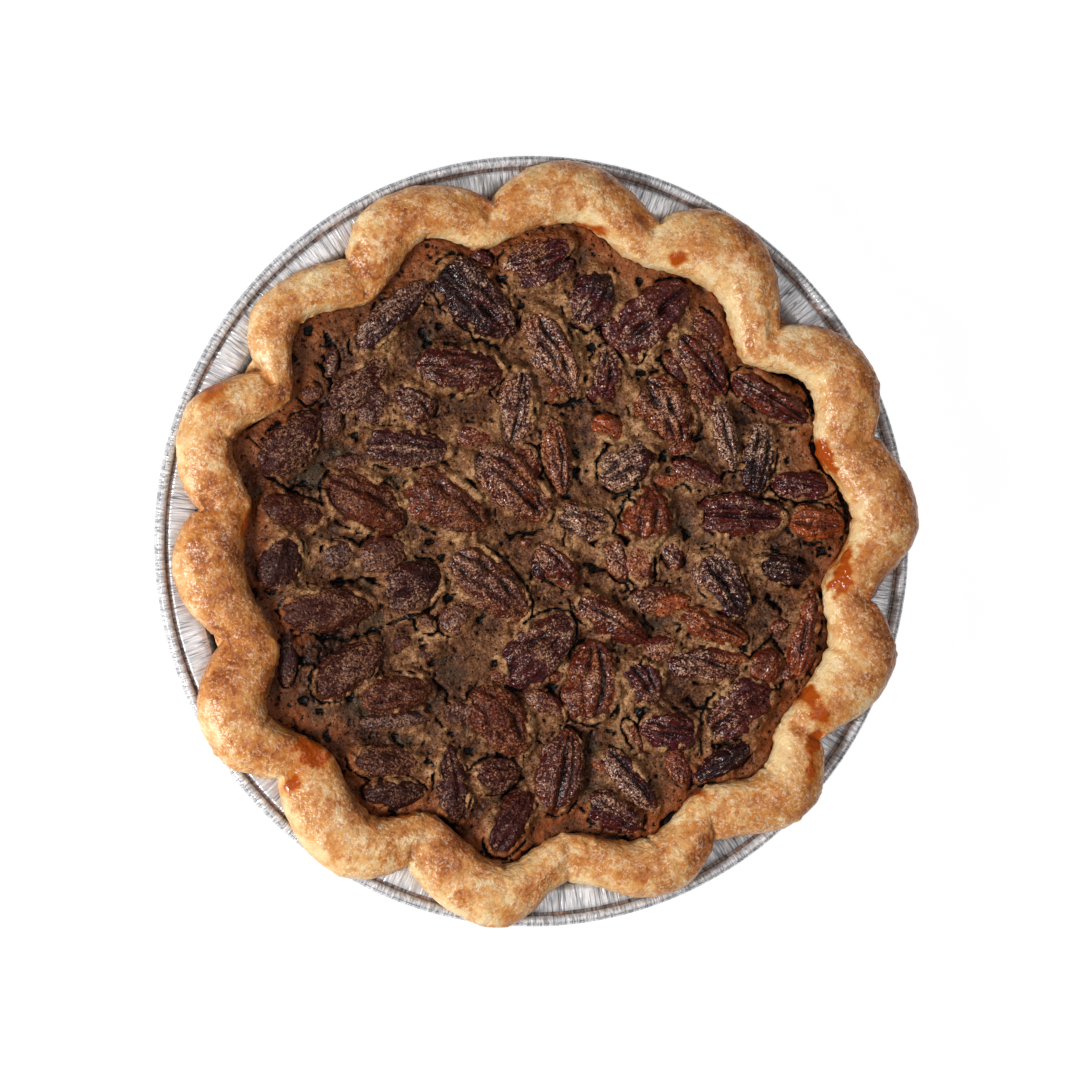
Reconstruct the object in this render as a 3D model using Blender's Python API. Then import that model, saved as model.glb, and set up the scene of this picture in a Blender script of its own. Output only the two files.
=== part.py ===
"""A pecan pie in its foil tin.

The pie stands on the tin's foot ring, with its axis on +Z and the origin at the
bottom centre. Sizes below are in millimetres and degrees, and angles run
anticlockwise from +X. The tin is a turned foil pan. The pastry is one case: a
base, a wall and a pinched rope edge whose flutes bulge out over the tin's rim
and in over the filling. The filling fills the case, and pecan halves lie on it.
"""

import math
from collections import namedtuple

import bmesh
import bpy
from mathutils import Matrix, Vector

MM = 0.001
GAP = 0.35

# The foil tin: a nine-inch deep pan, its foil drawn thicker than real foil.
TIN_RADIUS = 122.5
TIN_HEIGHT = 31.0
FOIL = 0.7
BEAD_RADIUS = 1.6
FLANGE_INNER_RADIUS = 108.8
FLANGE_HEIGHT = 29.2
FOOT_OUTER_RADIUS = 90.0
FOOT_INNER_RADIUS = 78.0
PANEL_RISE = 1.5
TIN_SIDES = 72
BEAD_FACETS = 6

# The pastry case inside the tin.
CASE_BASE_HEIGHT = PANEL_RISE + FOIL + GAP
CASE_THICKNESS = 4.2
CASE_BASE_RADIUS = 87.5
CASE_WALL_RADIUS = 107.2
CASE_SHOULDER_HEIGHT = 24.4

# The rope edge. It lies on the flange and passes over the bead.
ROPE_FLOOR = FLANGE_HEIGHT + FOIL + GAP
ROPE_HEIGHT = 13.8
NOTCH_DROP = 1.6
BEAD_CLEARANCE = 0.5

# One row for each flute, as angle and radius of four places on its outline: the
# crest outside, the recess behind it on the filling's side, the pinched notch that
# follows outside, and the bulge over the filling behind the notch. The last two say
# how gently, from 0 to 1, the outline falls to the notch before and the notch after.
FLUTES = (
    (4.0, 125.0, 4.0, 102.3, 17.0, 116.0, 18.0, 95.6, 1.0, 0.5),
    (27.5, 122.8, 28.0, 101.2, 40.8, 105.0, 41.0, 88.4, 0.4, 0.1),
    (56.5, 122.0, 54.0, 97.5, 68.6, 110.0, 69.5, 94.2, 0.4, 0.0),
    (85.0, 121.6, 83.0, 101.0, 97.8, 110.2, 100.5, 94.2, 0.5, 0.0),
    (114.0, 120.6, 110.5, 101.4, 124.8, 110.2, 125.0, 92.6, 0.0, 0.2),
    (139.5, 118.3, 138.0, 101.3, 149.0, 105.9, 150.5, 91.3, 0.6, 0.0),
    (161.0, 121.7, 162.5, 102.0, 174.8, 111.0, 173.0, 92.4, 0.4, 0.0),
    (184.0, 118.6, 183.0, 94.5, 197.0, 107.4, 202.0, 89.3, 0.0, 0.1),
    (211.5, 124.5, 212.3, 101.6, 222.0, 113.6, 224.5, 94.0, 0.1, 0.2),
    (236.5, 124.3, 238.0, 101.5, 248.0, 111.8, 248.5, 92.6, 0.1, 0.1),
    (263.5, 123.5, 264.0, 102.1, 275.4, 109.4, 276.0, 92.5, 0.1, 1.0),
    (292.0, 120.4, 291.0, 100.0, 301.0, 112.2, 304.0, 95.2, 1.0, 0.0),
    (316.0, 124.2, 316.0, 102.6, 325.6, 113.0, 325.0, 98.0, 0.9, 0.2),
    (340.5, 124.0, 340.5, 100.0, 350.3, 111.3, 351.0, 94.3, 0.8, 0.2),
)
CREST_TO_NOTCH_STEPS = (0.0, 0.32, 0.62, 0.84, 1.0)
CREST_ROUNDNESS = 2.3
GENTLE_ROUNDNESS = 1.2

# The filling.
FILLING_EDGE_HEIGHT = 30.4
FILLING_TOP = 31.4
FILLING_FLAT_SHARE = 0.93

# The pecans, as they lie: place of the middle, heading of the long axis, length,
# width, and which side is up. They are moved apart until none touches another.
PECAN_GAP = 0.7
PECAN_SETTLING_ROUNDS = 160
PECANS = (
    (-45.0, 72.0, 41, 34, 10, "edge"),
    (-56.5, 50.0, 45, 24, 11, "back"),
    (-39.5, 44.0, 140, 16, 12, "back"),
    (-24.0, 54.5, -5, 29, 15, "back"),
    (-79.0, 31.0, 45, 26, 14, "back"),
    (-42.0, 28.0, -4, 29, 13, "back"),
    (-19.0, 76.0, -45, 34, 18, "face"),
    (1.0, 91.0, 18, 25, 11, "back"),
    (18.0, 77.0, 60, 20, 15, "face"),
    (7.0, 60.0, -62, 31, 15, "back"),
    (22.0, 55.0, 80, 19, 11, "back"),
    (43.0, 75.0, 40, 30, 17, "face"),
    (-6.0, 43.0, 80, 26, 12, "face"),
    (7.5, 27.0, -82, 25, 9, "edge"),
    (31.0, 24.0, 30, 20, 15, "back"),
    (41.5, 41.0, -60, 25, 19, "back"),
    (54.0, 57.0, -52, 26, 12, "face"),
    (64.0, 36.0, -75, 24, 8, "edge"),
    (77.0, 46.0, -32, 30, 11, "edge"),
    (73.3, 26.5, 83, 24, 11, "back"),
    (88.0, 19.0, -5, 20, 9, "edge"),
    (68.0, 8.0, -3, 30, 13, "face"),
    (93.0, 6.0, -5, 18, 12, "back"),
    (80.5, -9.0, -10, 19, 9, "edge"),
    (61.0, -14.0, -55, 25, 14, "face"),
    (36.0, 9.0, 80, 19, 16, "back"),
    (16.0, 6.0, -10, 20, 12, "back"),
    (-10.0, 16.0, -42, 34, 17, "face"),
    (-26.0, 8.0, -30, 30, 19, "back"),
    (-14.0, -11.0, -40, 34, 17, "back"),
    (-38.0, -14.0, 30, 22, 17, "face"),
    (8.0, -8.0, -45, 19, 10, "back"),
    (1.0, -31.0, 45, 30, 18, "back"),
    (24.0, -25.0, -30, 28, 11, "edge"),
    (58.0, -27.0, -22, 25, 9, "edge"),
    (57.0, -45.0, -12, 25, 10, "back"),
    (88.0, -29.0, 80, 30, 9, "edge"),
    (35.0, -47.0, -60, 17, 13, "face"),
    (44.5, -58.0, -5, 20, 13, "back"),
    (17.5, -43.0, 85, 27, 18, "back"),
    (-11.0, -57.0, -50, 26, 17, "back"),
    (8.5, -73.0, 78, 28, 15, "face"),
    (-12.5, -74.5, 5, 16, 11, "back"),
    (-8.0, -90.0, 60, 24, 13, "back"),
    (31.0, -76.0, -50, 26, 9, "edge"),
    (26.0, -87.0, -28, 21, 11, "back"),
    (67.0, -60.0, 35, 27, 16, "face"),
    (68.0, -72.0, 30, 24, 8, "edge"),
    (-48.5, -70.0, 0, 24, 10, "back"),
    (-45.5, -79.5, 3, 21, 9, "edge"),
    (-27.0, -77.0, 95, 25, 11, "back"),
    (-60.0, -41.0, 35, 28, 14, "back"),
    (-45.0, -48.0, 10, 24, 13, "back"),
    (-67.0, -21.5, 3, 31, 14, "back"),
    (-82.0, -4.0, 70, 20, 14, "face"),
    (-76.0, 8.5, -10, 23, 11, "back"),
    (-57.0, 11.0, -30, 30, 18, "back"),
)

# Heights of the two lobes and of the groove between them, as shares of the
# pecan's height, and that height as a share of its width, for each side up.
PECAN_FORMS = {
    "back": {"lobe": 1.0, "groove": 0.84, "height_share": 0.42},
    "face": {"lobe": 1.0, "groove": 0.52, "height_share": 0.40},
    "edge": {"lobe": 0.86, "groove": 1.0, "height_share": 0.60},
}
PECAN_HEIGHT_LIMITS = (4.6, 6.2)
PECAN_STATIONS = (-0.80, -0.32, 0.28, 0.74)
PECAN_POINTED_SHARE = 0.14

COLOURS = {
    "foil": ((0.78, 0.78, 0.79, 1.0), 0.28, 1.0),
    "pastry": ((0.62, 0.36, 0.14, 1.0), 0.62, 0.0),
    "custard": ((0.20, 0.10, 0.045, 1.0), 0.55, 0.0),
    "pecan": ((0.12, 0.045, 0.028, 1.0), 0.42, 0.0),
}


Column = namedtuple("Column", "outer_angle reach inner_angle inner nearness")


def clear_scene():
    """Removes every object that is in the scene."""
    for item in list(bpy.data.objects):
        bpy.data.objects.remove(item, do_unlink=True)


def make_material(name):
    """Makes the Principled material of one of the named finishes."""
    colour, roughness, metallic = COLOURS[name]
    material = bpy.data.materials.new(name)
    material.use_nodes = True
    shader = material.node_tree.nodes["Principled BSDF"]
    shader.inputs["Base Color"].default_value = colour
    shader.inputs["Roughness"].default_value = roughness
    shader.inputs["Metallic"].default_value = metallic
    return material


def link_mesh(name, shape, material):
    """Turns a bmesh in millimetres into a named object in metres."""
    bmesh.ops.recalc_face_normals(shape, faces=shape.faces[:])
    bmesh.ops.scale(shape, vec=(MM, MM, MM), verts=shape.verts[:])
    mesh = bpy.data.meshes.new(name)
    shape.to_mesh(mesh)
    shape.free()
    mesh.materials.append(material)
    mesh.shade_smooth()
    mesh.set_sharp_from_angle(angle=math.radians(40))
    piece = bpy.data.objects.new(name, mesh)
    bpy.context.scene.collection.objects.link(piece)
    return piece


def bridge_rings(shape, lower, upper):
    """Joins two rings of as many points with triangles, all cut the same way."""
    count = len(lower)
    for index in range(count):
        following = (index + 1) % count
        shape.faces.new((lower[index], lower[following], upper[following]))
        shape.faces.new((lower[index], upper[following], upper[index]))


def fan_ring(shape, ring, tip):
    """Closes a ring with triangles that meet at one point."""
    for index, point in enumerate(ring):
        shape.faces.new((point, ring[(index + 1) % len(ring)], tip))


def loft(rings, first_tip, last_tip):
    """Makes a closed body from a stack of rings between two end points."""
    shape = bmesh.new()
    stack = [[shape.verts.new(point) for point in ring] for ring in rings]
    for lower, upper in zip(stack, stack[1:]):
        bridge_rings(shape, lower, upper)
    fan_ring(shape, stack[0], shape.verts.new(first_tip))
    fan_ring(shape, stack[-1], shape.verts.new(last_tip))
    return shape


# ---------------------------------------------------------------- the foil tin


def tin_profile():
    """The foil's section, from the axis below round the bead to the axis above."""
    bead_centre = (TIN_RADIUS - BEAD_RADIUS, TIN_HEIGHT - BEAD_RADIUS)
    wall_run = (FLANGE_INNER_RADIUS - FOOT_OUTER_RADIUS) / FLANGE_HEIGHT
    foot_corner = 1.2
    profile = [
        (0.0, PANEL_RISE),
        (FOOT_INNER_RADIUS - PANEL_RISE, PANEL_RISE),
        (FOOT_INNER_RADIUS, 0.0),
        (FOOT_OUTER_RADIUS, 0.0),
        (FOOT_OUTER_RADIUS + foot_corner * (0.6 + wall_run), foot_corner),
        (FLANGE_INNER_RADIUS, FLANGE_HEIGHT - foot_corner),
        (FLANGE_INNER_RADIUS + 0.8, FLANGE_HEIGHT),
    ]
    for step in range(BEAD_FACETS):
        angle = math.radians(-115.0 + 280.0 * step / (BEAD_FACETS - 1))
        profile.append((
            bead_centre[0] + BEAD_RADIUS * math.cos(angle),
            bead_centre[1] + BEAD_RADIUS * math.sin(angle),
        ))
    profile += [
        (bead_centre[0] - BEAD_RADIUS - 0.4, FLANGE_HEIGHT + FOIL),
        (FLANGE_INNER_RADIUS, FLANGE_HEIGHT + FOIL),
        (FLANGE_INNER_RADIUS - FOIL, FLANGE_HEIGHT - foot_corner),
        (FOOT_OUTER_RADIUS + foot_corner * wall_run, foot_corner + 0.3),
        (FOOT_OUTER_RADIUS - 0.5, FOIL),
        (FOOT_INNER_RADIUS + 0.3, FOIL),
        (FOOT_INNER_RADIUS - PANEL_RISE + 0.3, PANEL_RISE + FOIL),
        (0.0, PANEL_RISE + FOIL),
    ]
    return profile


def make_tin(material):
    """Turns the foil's section about the axis."""
    shape = bmesh.new()
    points = [shape.verts.new((radius, 0.0, height)) for radius, height in tin_profile()]
    edges = [shape.edges.new(pair) for pair in zip(points, points[1:])]
    bmesh.ops.spin(
        shape,
        geom=points + edges,
        cent=(0.0, 0.0, 0.0),
        axis=(0.0, 0.0, 1.0),
        angle=math.tau,
        steps=TIN_SIDES,
        use_merge=True,
    )
    bmesh.ops.remove_doubles(shape, verts=shape.verts[:], dist=0.01)
    return link_mesh("tin", shape, material)


# ------------------------------------------------------------- the pastry case


def outline_fall(share, ease):
    """How far the outline has fallen from crest to notch at a share of the way."""
    steep = share ** CREST_ROUNDNESS
    gentle = 0.5 - 0.5 * math.cos(math.pi * share ** GENTLE_ROUNDNESS)
    return steep + (gentle - steep) * ease


def half_flute(crest, notch, ease, steps):
    """The columns between a crest and a notch, as outer and inner angle and radius."""
    columns = []
    for share in steps:
        bulge = 0.5 - 0.5 * math.cos(math.pi * share)
        columns.append(Column(
            crest[0] + (notch[0] - crest[0]) * share,
            crest[1] + (notch[1] - crest[1]) * outline_fall(share, ease),
            crest[2] + (notch[2] - crest[2]) * share,
            crest[3] + (notch[3] - crest[3]) * bulge,
            share,
        ))
    return columns


def rope_columns():
    """The columns of the rope, all the way round.

    They stand closer together towards each notch, where the rope folds.
    """
    columns = []
    for flute, following in zip(FLUTES, FLUTES[1:] + FLUTES[:1]):
        crest, notch = flute[:4], flute[4:8]
        turn = 360.0 if following[0] < crest[0] else 0.0
        next_crest = (following[0] + turn, following[1], following[2] + turn, following[3])
        columns += half_flute(crest, notch, flute[9], CREST_TO_NOTCH_STEPS[:-1])
        columns += half_flute(next_crest, notch, following[8], CREST_TO_NOTCH_STEPS[:0:-1])
    return columns


def case_section(column):
    """The case's section at one column, from under its base to its floor inside.

    Each point is a radius, a height, and how far it leans from the column's outer
    angle to its inner angle.
    """
    reach, inner = column.reach, column.inner
    width = reach - inner
    top = ROPE_FLOOR + ROPE_HEIGHT - NOTCH_DROP * column.nearness ** 2
    flange_end = TIN_RADIUS - 2 * BEAD_RADIUS - 1.6
    ledge = max(CASE_WALL_RADIUS + 0.4, min(reach - 3.0, flange_end))
    over_bead = TIN_HEIGHT + BEAD_CLEARANCE + 0.9
    return [
        (CASE_BASE_RADIUS, CASE_BASE_HEIGHT, 0.0),
        (CASE_WALL_RADIUS, ROPE_FLOOR, 0.0),
        (ledge, ROPE_FLOOR, 0.0),
        (reach - 0.10 * width, over_bead, 0.0),
        (reach, ROPE_FLOOR + 0.42 * ROPE_HEIGHT, 0.0),
        (reach - 0.07 * width, ROPE_FLOOR + 0.70 * ROPE_HEIGHT, 0.05),
        (reach - 0.26 * width, top - 0.08 * ROPE_HEIGHT, 0.25),
        (reach - 0.50 * width, top, 0.5),
        (inner + 0.24 * width, top - 0.10 * ROPE_HEIGHT, 0.8),
        (inner + 0.06 * width, ROPE_FLOOR + 0.62 * ROPE_HEIGHT, 1.0),
        (inner, ROPE_FLOOR + 0.34 * ROPE_HEIGHT, 1.0),
        (inner + 0.6, FILLING_EDGE_HEIGHT + GAP, 1.0),
        (CASE_WALL_RADIUS - CASE_THICKNESS, CASE_SHOULDER_HEIGHT, 1.0),
        (CASE_BASE_RADIUS - CASE_THICKNESS, CASE_BASE_HEIGHT + CASE_THICKNESS, 1.0),
    ]


def around_axis(columns, section_of):
    """Places each column's section points round the axis, as a stack of rings."""
    sections = [section_of(column) for column in columns]
    rings = []
    for row in range(len(sections[0])):
        ring = []
        for column, section in zip(columns, sections):
            radius, height, lean = section[row]
            angle = column.outer_angle + (column.inner_angle - column.outer_angle) * lean
            turned = math.radians(angle)
            ring.append((radius * math.cos(turned), radius * math.sin(turned), height))
        rings.append(ring)
    return rings


def make_crust(columns, material):
    """The pastry case with its fluted rope edge, as one body."""
    rings = around_axis(columns, case_section)
    floor_inside = CASE_BASE_HEIGHT + CASE_THICKNESS
    shape = loft(rings, (0.0, 0.0, CASE_BASE_HEIGHT), (0.0, 0.0, floor_inside))
    return link_mesh("crust", shape, material)


# ----------------------------------------------------------------- the filling


def filling_section(column):
    """The filling's section at one column, top to bottom: it clears the case by the gap.

    It runs the same way as the case's own inner side, so that their triangles match.
    """
    inner = column.inner
    return [
        (inner * FILLING_FLAT_SHARE, FILLING_TOP, 1.0),
        (inner + 0.6 - GAP, FILLING_EDGE_HEIGHT, 1.0),
        (CASE_WALL_RADIUS - CASE_THICKNESS - 3 * GAP, CASE_SHOULDER_HEIGHT, 1.0),
        (CASE_BASE_RADIUS - CASE_THICKNESS - GAP, CASE_BASE_HEIGHT + CASE_THICKNESS + GAP, 1.0),
    ]


def make_filling(columns, material):
    """The baked custard, out to the pastry on every side."""
    rings = around_axis(columns, filling_section)
    underside = CASE_BASE_HEIGHT + CASE_THICKNESS + GAP
    shape = loft(rings, (0.0, 0.0, FILLING_TOP), (0.0, 0.0, underside))
    return link_mesh("filling", shape, material)


# ------------------------------------------------------------------ the pecans


def half_width(width, share):
    """Half a pecan's width at a share of its half length, blunt at -1, pointed at +1."""
    rounded = math.sqrt(max(0.0, 1.0 - abs(share) ** 2.2))
    return 0.5 * width * rounded * (1.0 - PECAN_POINTED_SHARE * share)


def pecan_discs(pecan, place):
    """Discs that cover a pecan's outline: x, y and radius of each."""
    _, _, heading, length, width, _ = pecan
    direction = Vector((math.cos(math.radians(heading)), math.sin(math.radians(heading))))
    discs = []
    for share in (-0.82, -0.6, -0.3, 0.0, 0.3, 0.6, 0.82):
        centre = place + direction * (0.5 * length * share)
        room_to_tip = 0.5 * length * (1.0 - abs(share))
        discs.append((centre, min(half_width(width, share), max(room_to_tip, 1.5))))
    return discs


def edge_of_pastry(columns, point):
    """The radius of the pastry's inner edge in the direction of a point."""
    first_angle = columns[0].inner_angle
    angle = first_angle + (math.degrees(math.atan2(point.y, point.x)) - first_angle) % 360.0
    for column, following in zip(columns, columns[1:] + columns[:1]):
        span = (following.inner_angle - column.inner_angle) % 360.0
        share = (angle - column.inner_angle) / span
        if 0.0 <= share <= 1.0:
            return column.inner + (following.inner - column.inner) * share
    return columns[-1].inner


def push_between(pecan, place, other, other_place):
    """How far to move the first pecan so that its outline clears the second's."""
    push = Vector((0.0, 0.0))
    for centre, radius in pecan_discs(pecan, place):
        for other_centre, other_radius in pecan_discs(other, other_place):
            apart = centre - other_centre
            short = radius + other_radius + PECAN_GAP - apart.length
            if short > push.length and apart.length > 0.0:
                push = apart.normalized() * short
    return push


def push_inwards(pecan, place, columns):
    """How far to move a pecan so that it clears the pastry's inner edge."""
    push = Vector((0.0, 0.0))
    for centre, radius in pecan_discs(pecan, place):
        short = centre.length + radius + PECAN_GAP - edge_of_pastry(columns, centre)
        if short > push.length:
            push = -centre.normalized() * short
    return push


def settle_pecans(columns):
    """Moves the pecans apart in small steps until each has its own place."""
    places = [Vector((pecan[0], pecan[1])) for pecan in PECANS]
    pairs = []
    for first in range(len(PECANS)):
        for second in range(first):
            reach = 0.5 * (PECANS[first][3] + PECANS[second][3]) + 8.0
            if (places[first] - places[second]).length < reach:
                pairs.append((first, second))
    for _ in range(PECAN_SETTLING_ROUNDS):
        moved = False
        for first, second in pairs:
            push = push_between(PECANS[first], places[first], PECANS[second], places[second])
            if push.length > 0.0:
                places[first] += 0.5 * push
                places[second] -= 0.5 * push
                moved = True
        for index, pecan in enumerate(PECANS):
            push = push_inwards(pecan, places[index], columns)
            places[index] += push
            moved = moved or push.length > 0.0
        if not moved:
            break
    return places


def pecan_ring(form, half, height, along):
    """The outline of a pecan's section at one station along its length."""
    across = (
        (-0.88, 0.0),
        (-1.0, 0.42),
        (-0.54, form["lobe"]),
        (0.0, form["groove"]),
        (0.54, form["lobe"]),
        (1.0, 0.42),
        (0.88, 0.0),
    )
    return [(along, half * side, height * rise) for side, rise in across]


def make_pecan(index, pecan, place, material):
    """One pecan half: two lobes with a groove between them, on a flat underside."""
    _, _, heading, length, width, side_up = pecan
    form = PECAN_FORMS[side_up]
    lowest, highest = PECAN_HEIGHT_LIMITS
    height = min(highest, max(lowest, form["height_share"] * width))
    rings = []
    for share in PECAN_STATIONS:
        drop = 1.0 - 0.45 * share * share
        rings.append(pecan_ring(form, half_width(width, share), height * drop, 0.5 * length * share))
    blunt_tip = (-0.5 * length, 0.0, 0.22 * height)
    pointed_tip = (0.5 * length, 0.0, 0.16 * height)
    shape = loft(rings, blunt_tip, pointed_tip)
    turn = Matrix.Rotation(math.radians(heading), 4, "Z")
    shift = Matrix.Translation((place.x, place.y, FILLING_TOP + GAP))
    bmesh.ops.transform(shape, matrix=shift @ turn, verts=shape.verts[:])
    return link_mesh(f"pecan_{side_up}_{index:02d}", shape, material)


def build():
    """Builds the whole pie."""
    clear_scene()
    materials = {name: make_material(name) for name in COLOURS}
    columns = rope_columns()
    make_tin(materials["foil"])
    make_crust(columns, materials["pastry"])
    make_filling(columns, materials["custard"])
    places = settle_pecans(columns)
    for index, (pecan, place) in enumerate(zip(PECANS, places), start=1):
        make_pecan(index, pecan, place, materials["pecan"])


build()
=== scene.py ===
"""The looks of a pecan pie in its foil tin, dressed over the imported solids.

Every piece here takes the place of a solid with the same form, and stays inside the
solids' box. Sizes are in millimetres and degrees unless a name says otherwise, and
angles run anticlockwise from +X. A few words are used throughout:

- a mark is a number from 0 to 1 kept at each point of a mesh for its material to read;
- a nut is one pecan half, from a solid's place or from the table of small bits;
- the rope is the pinched edge of the pastry, and a column is one section through it.
"""

import itertools
import math
from collections import namedtuple

import bpy
import numpy as np
from mathutils import Matrix, Vector

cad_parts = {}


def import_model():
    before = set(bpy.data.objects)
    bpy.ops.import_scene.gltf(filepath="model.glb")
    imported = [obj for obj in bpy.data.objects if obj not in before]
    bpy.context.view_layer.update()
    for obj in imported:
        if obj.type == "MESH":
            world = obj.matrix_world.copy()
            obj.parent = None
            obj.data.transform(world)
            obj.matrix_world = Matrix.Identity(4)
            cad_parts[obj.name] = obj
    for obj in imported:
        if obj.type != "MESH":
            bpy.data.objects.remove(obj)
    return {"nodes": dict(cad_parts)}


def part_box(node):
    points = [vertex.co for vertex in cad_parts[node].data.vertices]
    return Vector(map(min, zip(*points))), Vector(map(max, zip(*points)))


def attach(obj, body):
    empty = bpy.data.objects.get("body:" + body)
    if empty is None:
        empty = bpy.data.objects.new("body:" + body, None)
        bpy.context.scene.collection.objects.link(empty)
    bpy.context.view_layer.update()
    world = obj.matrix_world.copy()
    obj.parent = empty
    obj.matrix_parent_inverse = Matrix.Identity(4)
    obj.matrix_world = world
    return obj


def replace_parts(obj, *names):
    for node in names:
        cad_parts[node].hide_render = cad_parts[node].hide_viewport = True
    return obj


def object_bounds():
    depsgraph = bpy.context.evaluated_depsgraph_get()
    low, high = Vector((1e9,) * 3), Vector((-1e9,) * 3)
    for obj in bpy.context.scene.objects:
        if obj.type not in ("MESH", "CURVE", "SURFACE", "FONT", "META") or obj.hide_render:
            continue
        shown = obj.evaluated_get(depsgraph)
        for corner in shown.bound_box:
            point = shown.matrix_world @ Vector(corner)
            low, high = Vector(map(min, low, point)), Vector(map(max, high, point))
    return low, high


MM = 0.001
FULL_TURN = 360.0

# ------------------------------------------------------------- the pie's sizes

TIN_RADIUS = 122.5
TIN_HEIGHT = 31.0
FOIL = 0.5
BEAD_RADIUS = 1.6
FLANGE_INNER_RADIUS = 108.8
FLANGE_HEIGHT = 29.2
FOOT_OUTER_RADIUS = 90.0
FOOT_INNER_RADIUS = 78.0
PANEL_RISE = 1.5

WALL_RADIUS = 107.2
WALL_THICKNESS = 4.2
ROPE_FLOOR = 30.25
ROPE_HEIGHT = 13.1
NOTCH_DROP = 2.2

# One row for each flute, as angle and radius of four places on its outline: the
# crest outside, the recess behind it on the filling's side, the pinched notch that
# follows outside, and the bulge over the filling behind the notch. The last two say
# how gently, from 0 to 1, the outline falls to the notch before and the notch after.
FLUTES = (
    (4.0, 125.0, 4.0, 102.3, 17.0, 116.0, 18.0, 95.6, 1.0, 0.5),
    (27.5, 122.8, 28.0, 101.2, 40.8, 105.0, 41.0, 88.4, 0.4, 0.1),
    (56.5, 122.0, 54.0, 97.5, 68.6, 110.0, 69.5, 94.2, 0.4, 0.0),
    (85.0, 121.6, 83.0, 101.0, 97.8, 110.2, 100.5, 94.2, 0.5, 0.0),
    (114.0, 120.6, 110.5, 101.4, 124.8, 110.2, 125.0, 92.6, 0.0, 0.2),
    (139.5, 118.3, 138.0, 101.3, 149.0, 105.9, 150.5, 91.3, 0.6, 0.0),
    (161.0, 121.7, 162.5, 102.0, 174.8, 111.0, 173.0, 92.4, 0.4, 0.0),
    (184.0, 118.6, 183.0, 94.5, 197.0, 107.4, 202.0, 89.3, 0.0, 0.1),
    (211.5, 124.5, 212.3, 101.6, 222.0, 113.6, 224.5, 94.0, 0.1, 0.2),
    (236.5, 124.3, 238.0, 101.5, 248.0, 111.8, 248.5, 92.6, 0.1, 0.1),
    (263.5, 123.5, 264.0, 102.1, 275.4, 109.4, 276.0, 92.5, 0.1, 1.0),
    (292.0, 120.4, 291.0, 100.0, 301.0, 112.2, 304.0, 95.2, 1.0, 0.0),
    (316.0, 124.2, 316.0, 102.6, 325.6, 113.0, 325.0, 98.0, 0.9, 0.2),
    (340.5, 124.0, 340.5, 100.0, 350.3, 111.3, 351.0, 94.3, 0.8, 0.2),
)
CREST_ROUNDNESS = 2.3
GENTLE_ROUNDNESS = 1.2
STEPS_PER_HALF_FLUTE = 38
ROPE_POINTS = 92
# The heading that points away from the key lamp, which the painted light and shade follow: pastry turned
# this way is painted browner, and the filling and nuts on the key lamp's side are painted darker.
AWAY_FROM_KEY_HEADING = 20.0

# Broad patches of pastry painted browner or paler than the rest, partly real browning and partly painted
# light and shade: x, y, reach and amount.
BROWNING_AND_SHADE_PATCHES = (
    (-113.0, -38.0, 13, 0.58), (-118.0, -8.0, 16, 0.28), (-103.0, 0.0, 20, 0.18),
    (-96.0, -44.0, 14, 0.04), (-92.0, -76.0, 12, 0.10), (-68.0, -78.0, 12, -0.10),
    (-8.0, -106.0, 18, -0.14), (20.0, -118.0, 14, -0.14), (50.0, -92.0, 16, -0.12),
    (97.0, -35.0, 16, -0.14), (73.0, -61.0, 10, -0.14), (104.0, -56.0, 14, -0.04),
    (116.0, 4.0, 14, 0.06), (110.0, 42.0, 16, 0.06), (90.0, 78.0, 14, 0.06), (89.0, 32.0, 11, -0.22),
    (54.0, 98.0, 20, -0.16), (18.0, 104.0, 16, -0.12), (-47.0, 82.0, 10, 0.22),
    (-73.0, 61.0, 10, -0.12),
)

# Syrup that boiled over on the pastry: x, y, heading, length, width and strength.
STAINS = (
    (-74.0, -67.0, -20, 14, 8, 1.0), (45.0, 90.0, 20, 6, 4, 1.0), (10.0, 98.0, 5, 22, 4, 0.7),
    (93.0, 27.0, -60, 11, 5, 0.9), (99.0, -10.0, 78, 15, 7, 0.9), (87.0, -48.0, -55, 9, 6, 0.8),
    (92.0, -55.0, -50, 8, 6, 1.0), (90.0, -63.0, 75, 9, 6, 0.8), (89.0, -73.0, 60, 9, 5, 0.6),
    (52.0, -79.0, -35, 9, 4, 0.6), (-43.0, -86.0, 10, 9, 4, 0.7), (-80.0, -77.0, 40, 8, 5, 0.7),
    (-94.0, 4.0, 88, 16, 6, 0.6), (-106.0, 47.0, 50, 12, 7, 0.5),
)

# ------------------------------------------------------------------ the pecans

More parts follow.
